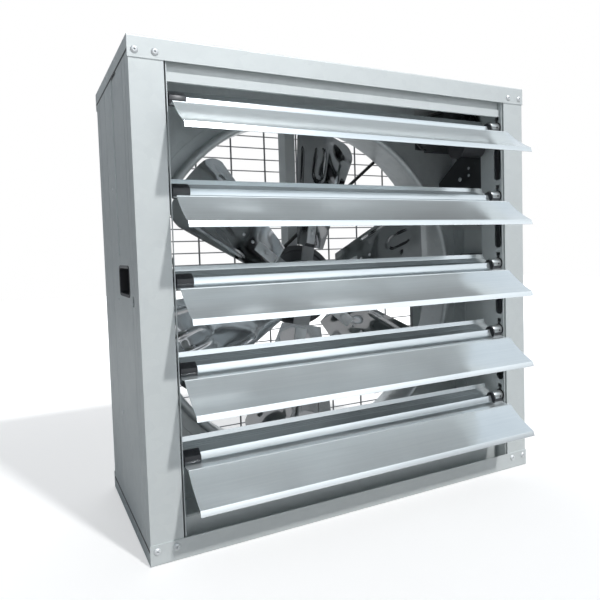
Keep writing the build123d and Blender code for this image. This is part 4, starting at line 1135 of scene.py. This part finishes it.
@dataclass
class Impeller:
    """Venturi, blades, hub and its spindle."""

    paint: Paint
    ring_depth: float = 0.221
    lip_centre: Pair = (0.401, 0.0)
    lip_radii: Pair = (0.009, 0.0075)
    tip: float = 0.381
    root: float = 0.096
    pitch: float = math.radians(22.0)
    first_turn: float = 10.0
    chord_tip: float = 0.214
    chord_root: float = 0.096
    camber: float = 0.015
    thick: float = 0.0015
    corner: float = 0.038
    middle: float = 0.266
    seat: float = 0.0019
    rows: tuple[int, int] = (54, 16)
    half_columns: int = 30
    least_half: float = 0.0004
    relief: float = 0.002
    oval_z: float = 0.305
    oval_straight: float = 0.024
    oval_radius: float = 0.0175
    oval_bead: float = 0.0055
    rib_at: Pair = (0.0595, 0.252)
    rib_straight: float = 0.0685
    rib_lean: float = math.radians(8.0)
    rib_bead: float = 0.0058
    rivet_shares: tuple[float, ...] = (0.3097, 0.3832, 0.4567, 0.5302)
    clamp_half: float = 0.014
    clamp_z: Pair = (0.104, 0.161)
    clamp_thick: float = 0.002
    clamp_sink: float = 0.0003
    clamp_round: float = 0.0009
    clamp_bolt: float = 0.132
    bearing_depths: Pair = (0.24, 0.314)
    spindle_depth: float = 0.246
    rivet_head: float = 0.0045
    rivet_rise: float = 0.002

    def ring(self) -> bpy.types.Object:
        """Spun venturi ring with a rolled lip and a flat flange.

        Returns:
            The new piece.
        """
        nose = arc(self.lip_radii[0], self.lip_centre, 180, 360, 12)
        inner = arc(self.lip_radii[1], self.lip_centre, 360, 180, 12)
        flange = [(0.41, 0.019), (0.4335, 0.019), (0.434, 0.0195), (0.434, 0.0205), (0.4085, 0.0205)]
        profile = [(0.392, 0.084), *nose, *flange, *inner, (0.3935, 0.084)]
        shape = self.paint.shape("spun_venturi_ring", VENTURI_ZINC)
        shape.lathe(profile, axis_y(0, self.ring_depth, FAN_Z), 144, closed=True)
        return shape.fit("housing", "venturi_ring", smooth=30.0)

    def _corner_at(self) -> Pair:
        """Centre of the rounded tip corner, across and along the blade, seen from the front."""
        across = self.chord_tip / 2 * math.cos(self.pitch) - self.corner
        return across, math.sqrt((self.tip - self.corner) ** 2 - across**2)

    def _half_width(self, z: float) -> float:
        """Half width of the blade's outline, seen from the front, at a radius.

        Args:
            z: The radius.

        Returns:
            Half of the width.
        """
        spread = math.cos(self.pitch)
        tip, root = self.chord_tip / 2 * spread, self.chord_root / 2 * spread
        corner_x, corner_z = self._corner_at()
        lean = math.atan2(corner_z, corner_x)
        if z <= corner_z:
            return root + (tip - root) * (z - self.root) / (corner_z - self.root)
        if z <= corner_z + self.corner * math.sin(lean):
            return corner_x + math.sqrt(max(self.corner**2 - (z - corner_z) ** 2, 0.0))
        return math.sqrt(max(self.tip**2 - z**2, 0.0))

    def _relief(self, x: float, z: float) -> float:
        """Height of the pressed oval and ribs at a place on the blade.

        Args:
            x: Place across the blade, seen from the front.
            z: Radius of the place.

        Returns:
            The height.
        """

        def slot(px: float, pz: float, length: float, lean: float) -> float:
            """Distance to a straight line of a half length that leans.

            Args:
                px: Middle of the line, across.
                pz: Middle of the line, along.
                length: Its half length.
                lean: Its lean in radians.

            Returns:
                The distance.
            """
            dx, dz = x - px, z - pz
            along = dx * math.sin(lean) + dz * math.cos(lean)
            across = dx * math.cos(lean) - dz * math.sin(lean)
            return math.hypot(across, max(abs(along) - length, 0.0))

        oval = abs(slot(0.0, self.oval_z, self.oval_straight, 0.0) - self.oval_radius)
        found = max(0.0, 1.0 - (oval / self.oval_bead) ** 2)
        for side in SIDES:
            rib = slot(side * self.rib_at[0], self.rib_at[1], self.rib_straight, side * self.rib_lean)
            found = max(found, 1.0 - (rib / self.rib_bead) ** 2)
        return self.relief * found

    def _blade_place(self, n: int) -> Matrix:
        """Place of a blade: local X along its chord, local Z from the hub to the tip."""
        turn = turned(self.first_turn + 360.0 / FAN_BLADES * n, "Y")
        return Matrix.Translation((0, at(self.middle), FAN_Z)) @ turn @ Matrix.Rotation(self.pitch, 4, "Z")

    def blades(self) -> list[bpy.types.Object]:
        """Stamped blades, bowed and pitched, with a pressed oval and two ribs.

        Returns:
            The new pieces.
        """
        top = self._corner_at()[1]
        below, above = self.rows
        levels = [self.root + (top - self.root) * k / below for k in range(below + 1)]
        levels += [top + (self.tip - top) * math.sin(math.pi / 2 * k / above) for k in range(1, above + 1)]
        bow = ((self.chord_tip / 2) ** 2 + self.camber**2) / (2 * self.camber)
        rows = []
        for z in levels:
            half = max(self._half_width(z), self.least_half)
            row = []
            for k in range(-self.half_columns, self.half_columns + 1):
                x = half * k / self.half_columns
                chord = x / math.cos(self.pitch)
                y = math.sqrt(bow**2 - chord**2) - bow + self.camber / 2 - self.seat
                row.append(Vector((chord, y - self._relief(x, z), z)))
            rows.append(row)
        made = []
        for n in range(FAN_BLADES):
            shape = self.paint.shape(f"stamped_blade_{n + 1}", STAINLESS)
            shape.sheet(rows, Vector((0, self.thick, 0)), self._blade_place(n))
            made.append(shape.fit("impeller", f"fan_blade_{n + 1}"))
        return made

    def rivets(self) -> bpy.types.Object:
        """Domed rivets through each blade and arm.

        Returns:
            The new piece.
        """
        r, h = self.rivet_head, self.rivet_rise
        profile = [
            (0.0, -0.2 * h), (r, -0.2 * h), (r, 0.1 * h), (0.93 * r, 0.45 * h), (0.7 * r, 0.8 * h),
            (0.35 * r, 0.97 * h), (0.0, h),
        ]
        shape = self.paint.shape("dome_rivets", ZINC_FASTENER)
        for n in range(FAN_BLADES):
            for share in self.rivet_shares:
                seat = Matrix.Translation((0, self.camber / 2 - self.seat, share * self.tip)) @ turned(90, "X")
                shape.lathe(profile, self._blade_place(n) @ seat, 20)
        return shape.fit("impeller", "blade_rivets", smooth=50.0)

    def clamps(self) -> bpy.types.Object:
        """Bright clamp plates with a hexagon bolt on the roots of the blades.

        Returns:
            The new piece.
        """
        shape = self.paint.shape("root_clamps", RIVET_ZINC)
        inner = self.camber / 2 - self.seat + self.clamp_sink
        outer = self.camber / 2 - self.seat - self.clamp_thick
        low, high = (-self.clamp_half, outer, self.clamp_z[0]), (self.clamp_half, inner, self.clamp_z[1])
        head = [
            (0.0, 0.0), (0.0082, 0.0), (0.0082, 0.0012), (0.0066, 0.0012), (0.0066, 0.0052), (0.0056, 0.0058),
            (0.0, 0.0058),
        ]
        for n in range(FAN_BLADES):
            place = self._blade_place(n)
            shape.slab(low, high, self.clamp_round, place)
            bolt = Matrix.Translation((0, outer, self.clamp_bolt)) @ turned(90, "X")
            shape.lathe(head, place @ bolt, 6)
        return shape.fit("impeller", smooth=30.0)

    def hub_cap(self) -> bpy.types.Object:
        """Pressed cap with a rolled foot over the front bearing.

        Returns:
            The new piece.
        """
        dome = [math.radians(a) for a in range(0, 91, 9)]
        profile = [(0.0, 0.0), (0.0295, 0.0), (0.03, 0.0006), (0.0296, 0.0016)]
        profile += [(0.0284 * math.cos(a), 0.0016 + 0.0134 * math.sin(a)) for a in dome]
        shape = self.paint.shape("pressed_hub_cap", ZINC_FASTENER)
        shape.lathe(profile, axis_y(0, self.bearing_depths[0], FAN_Z, forward=True), 48)
        return shape.fit("impeller", "hub_cap")

    def bearings(self) -> bpy.types.Object:
        """Ball bearings with sealed faces between their races.

        Returns:
            The new piece.
        """
        shape = self.paint.shape("sealed_bearings", ZINC_FASTENER)
        bore, wide = SPINDLE_RADIUS + 0.00005, 0.015
        profile = [
            (bore, 0.0), (0.0132, 0.0), (0.0134, 0.0006), (0.0176, 0.0006), (0.0178, 0.0), (0.0206, 0.0),
            (0.0209, 0.0003), (0.0209, wide - 0.0003), (0.0206, wide), (0.0178, wide), (0.0176, wide - 0.0006),
            (0.0134, wide - 0.0006), (0.0132, wide), (bore, wide),
        ]
        for depth in self.bearing_depths:
            shape.lathe(profile, axis_y(0, depth, FAN_Z), 48, closed=True)
        return shape.fit("impeller", "hub_bearings", smooth=30.0)

    def spindle(self) -> bpy.types.Object:
        """Ground spindle and its round flange.

        Returns:
            The new piece.
        """
        shape = self.paint.shape("flanged_spindle", ZINC_FASTENER)
        profile = [
            (0.0, 0.0), (0.0092, 0.0), (SPINDLE_RADIUS, 0.0008), (SPINDLE_RADIUS, 0.084), (0.0125, 0.084),
            (0.0392, 0.0842), (0.04, 0.0848), (0.04, 0.0894), (0.0394, 0.09), (0.0, 0.09),
        ]
        shape.lathe(profile, axis_y(0, self.spindle_depth, FAN_Z), 48)
        return shape.fit("housing", "fixed_spindle", smooth=30.0)

    def build(self) -> list[bpy.types.Object]:
        """Dress the venturi and the impeller.

        Returns:
            The new pieces.
        """
        self.paint.nodes(VENTURI_ZINC, "venturi_panel")
        self.paint.nodes(CAST_ALUMINIUM, "fan_hub")
        return [
            self.ring(), *self.blades(), self.rivets(), self.clamps(), self.hub_cap(), self.bearings(),
            self.spindle(),
        ]


@dataclass
class Drive:
    """Motor, pulleys, belt and the wire guard behind them."""

    paint: Paint
    motor: Pair = (0.392, 0.8435)
    fins: int = 24
    frame_depths: Pair = (0.166, 0.272)
    cowl_depth: float = 0.16
    shield_depth: float = 0.27
    pulley_depth: float = 0.3077
    belt_depth: float = 0.312

    def pulley(
        self, name: str, node: str, body: str, radius: float, bore: float, at_xz: Pair
    ) -> bpy.types.Object:
        """Turned pulley with a V groove and a recessed web.

        Args:
            name: Piece name.
            node: Node that it replaces.
            body: Body that it turns with.
            radius: Outer radius.
            bore: Bore radius.
            at_xz: Place across and height.

        Returns:
            The new piece.
        """
        low, high, groove, wide = 0.0037, 0.0129, radius - 0.0073, 0.0166
        web, hub = 0.5 * (bore + groove), bore + 0.009
        profile = [
            (bore, 0.0), (bore + 0.008, 0.0), (hub, 0.001), (hub, 0.0045), (web, 0.0052),
            (groove - 0.006, 0.0045), (groove - 0.004, 0.0006), (groove - 0.003, 0.0), (radius - 0.0006, 0.0),
            (radius, 0.0006), (radius, low - 0.0012), (groove, low + 0.0008), (groove, high - 0.0008),
            (radius, high + 0.0012), (radius, 0.016), (radius - 0.0006, wide), (groove - 0.003, wide),
            (groove - 0.004, 0.016), (groove - 0.006, 0.012), (web, 0.0113), (hub, 0.012), (hub, 0.0156),
            (bore + 0.008, wide), (bore, wide),
        ]
        shape = self.paint.shape(name, PULLEY_IRON)
        steps = 96 if radius > MOTOR_PULLEY_RADIUS else 56
        shape.lathe(profile, axis_y(at_xz[0], self.pulley_depth, at_xz[1]), steps, closed=True)
        return shape.fit(body, node, smooth=30.0)

    def motor_body(self) -> bpy.types.Object:
        """Finned motor frame with bearing shields.

        Returns:
            The new piece.
        """
        shape = self.paint.shape("finned_motor_frame", BLACK_PAINT)
        x, z = self.motor
        fin = ((0.0455, -2.3), (0.0493, -1.5), (0.0497, 0.0), (0.0493, 1.5), (0.0455, 2.3))
        turns = [(r, math.radians(360.0 / self.fins * k + turn)) for k in range(self.fins) for r, turn in fin]
        outline = [(r * math.cos(angle), r * math.sin(angle)) for r, angle in turns]
        front, rear = self.frame_depths
        shape.prism(outline, at(front), at(rear), Matrix.Translation((x, 0, z)) @ turned(90, "Z"))
        ring = [(0.0, 0.0), (0.0494, 0.0), (0.05, 0.0006), (0.05, 0.0054), (0.0494, 0.006), (0.0, 0.006)]
        shape.lathe(ring, axis_y(x, self.cowl_depth, z), 56)
        shield = [
            (0.0, 0.0), (0.0494, 0.0), (0.05, 0.0006), (0.05, 0.0044), (0.0488, 0.0056), (0.036, 0.0075),
            (0.034, 0.016), (0.0325, 0.0175), (0.018, 0.0178), (0.017, 0.0158), (0.012, 0.0158), (0.0, 0.0158),
        ]
        shape.lathe(shield, axis_y(x, self.shield_depth, z), 56)
        return shape.fit("housing", "motor_frame", smooth=32.0)

    def cowl(self) -> bpy.types.Object:
        """Fan cowl with a ring grille in its front face.

        Returns:
            The new piece.
        """
        shape = self.paint.shape("grilled_fan_cowl", BLACK_MOULDING)
        face, floor = 0.0336, 0.031
        profile = [
            (0.0, 0.004), (0.009, 0.004), (0.0095, 0.0334), (0.0105, 0.0338), (0.0112, 0.0334), (0.0112, floor),
            (0.0145, floor), (0.0145, face), (0.0175, face), (0.0175, floor), (0.0208, floor), (0.0208, face),
            (0.0238, face), (0.0238, floor), (0.0271, floor), (0.0271, face), (0.0301, face), (0.0301, floor),
            (0.0334, floor), (0.0334, 0.034), (0.04, 0.034), (0.044, 0.0325), (0.0475, 0.0295),
            (0.0495, 0.0255), (0.05, 0.022), (0.05, 0.0006), (0.0494, 0.0), (0.0, 0.0),
        ]
        place = axis_y(self.motor[0], self.cowl_depth, self.motor[1], forward=True)
        shape.lathe(profile, place, 64)
        for k in range(8):
            low, high = (0.0105, -0.0012, 0.0305), (0.0345, 0.0012, 0.0338)
            shape.slab(low, high, 0.0003, place @ turned(45.0 * k, "Z"))
        return shape.fit("housing", "motor_fan_cowl", smooth=32.0)

    def box(self) -> bpy.types.Object:
        """Terminal box with a lid and four screws.

        Returns:
            The new piece.
        """
        low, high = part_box("terminal_box")
        shape = self.paint.shape("lidded_terminal_box", BLACK_MOULDING)
        case = (low.x + 0.0052, low.y + 0.0012, low.z + 0.0012)
        shape.slab(case, (high.x, high.y - 0.0012, high.z - 0.0012), 0.0015)
        shape.slab((low.x + 0.001, low.y, low.z), (low.x + 0.0046, high.y, high.z), 0.0014)
        screw = [
            (0.0, -0.001), (0.0024, -0.001), (0.0024, 0.0004), (0.0018, 0.001), (0.0008, 0.001),
            (0.0006, 0.0004), (0.0, 0.0004),
        ]
        for y in (low.y + 0.006, high.y - 0.006):
            for z in (low.z + 0.006, high.z - 0.006):
                shape.lathe(screw, axis_x(low.x + 0.001, y + DEPTH / 2, z, -1), 16)
        return shape.fit("housing", "terminal_box")

    def belt(self) -> bpy.types.Object:
        """V-belt with a tapered section round both pulleys.

        Returns:
            The new piece.
        """
        big, small = FAN_PULLEY_RADIUS, MOTOR_PULLEY_RADIUS
        centre = Vector((0.0, FAN_Z))
        axis = Vector(self.motor) - centre
        turn = Matrix.Rotation(math.atan2(axis.y, axis.x), 2)
        split = math.degrees(math.acos((big - small) / axis.length))
        rings = []
        for inset, shift in (
            (0.0, 0.0), (0.0, 0.008), (0.0068, 0.0069), (0.007, 0.0065), (0.007, 0.0015), (0.0068, 0.0011),
        ):
            loop = arc(big - inset, (0.0, 0.0), split, 360 - split, 88)
            loop += arc(small - inset, (axis.length, 0.0), -split, split, 32)
            points = [turn @ Vector(p) + centre for p in loop]
            rings.append([Vector((p.x, at(self.belt_depth + shift), p.y)) for p in points])
        shape = self.paint.shape("moulded_v_belt", BELT_RUBBER)
        shape.loft(rings, closed=True)
        return shape.fit("housing", "v_belt", smooth=32.0)

    def build(self) -> list[bpy.types.Object]:
        """Dress the drive and the guard.

        Returns:
            The new pieces.
        """
        self.paint.nodes(GUARD_WIRE, "guard_frame", "guard_uprights", "guard_rungs")
        self.paint.nodes(BLACK_PAINT, "motor_feet", "motor_bracket")
        self.paint.nodes(ZINC_FASTENER, "motor_shaft", "bracket_screws")
        hub = (0.0, FAN_Z)
        return [
            self.pulley("turned_fan_pulley", "fan_pulley", "impeller", FAN_PULLEY_RADIUS, 0.0304, hub),
            self.pulley(
                "turned_motor_pulley", "motor_pulley", "motor_rotor", MOTOR_PULLEY_RADIUS, 0.0096, self.motor
            ),
            self.motor_body(), self.cowl(), self.box(), self.belt(),
        ]


def main() -> None:
    """Build the scene in order and report each piece."""
    logging.basicConfig(level=logging.INFO)
    Camera().build()
    Studio().build()
    paint = Paint()
    for assembly in (Housing(paint), Shutter(paint), Impeller(paint), Drive(paint)):
        for piece in assembly.build():
            log.info("%s: %s", type(assembly).__name__, piece.name)


if __name__ == "__main__":
    main()
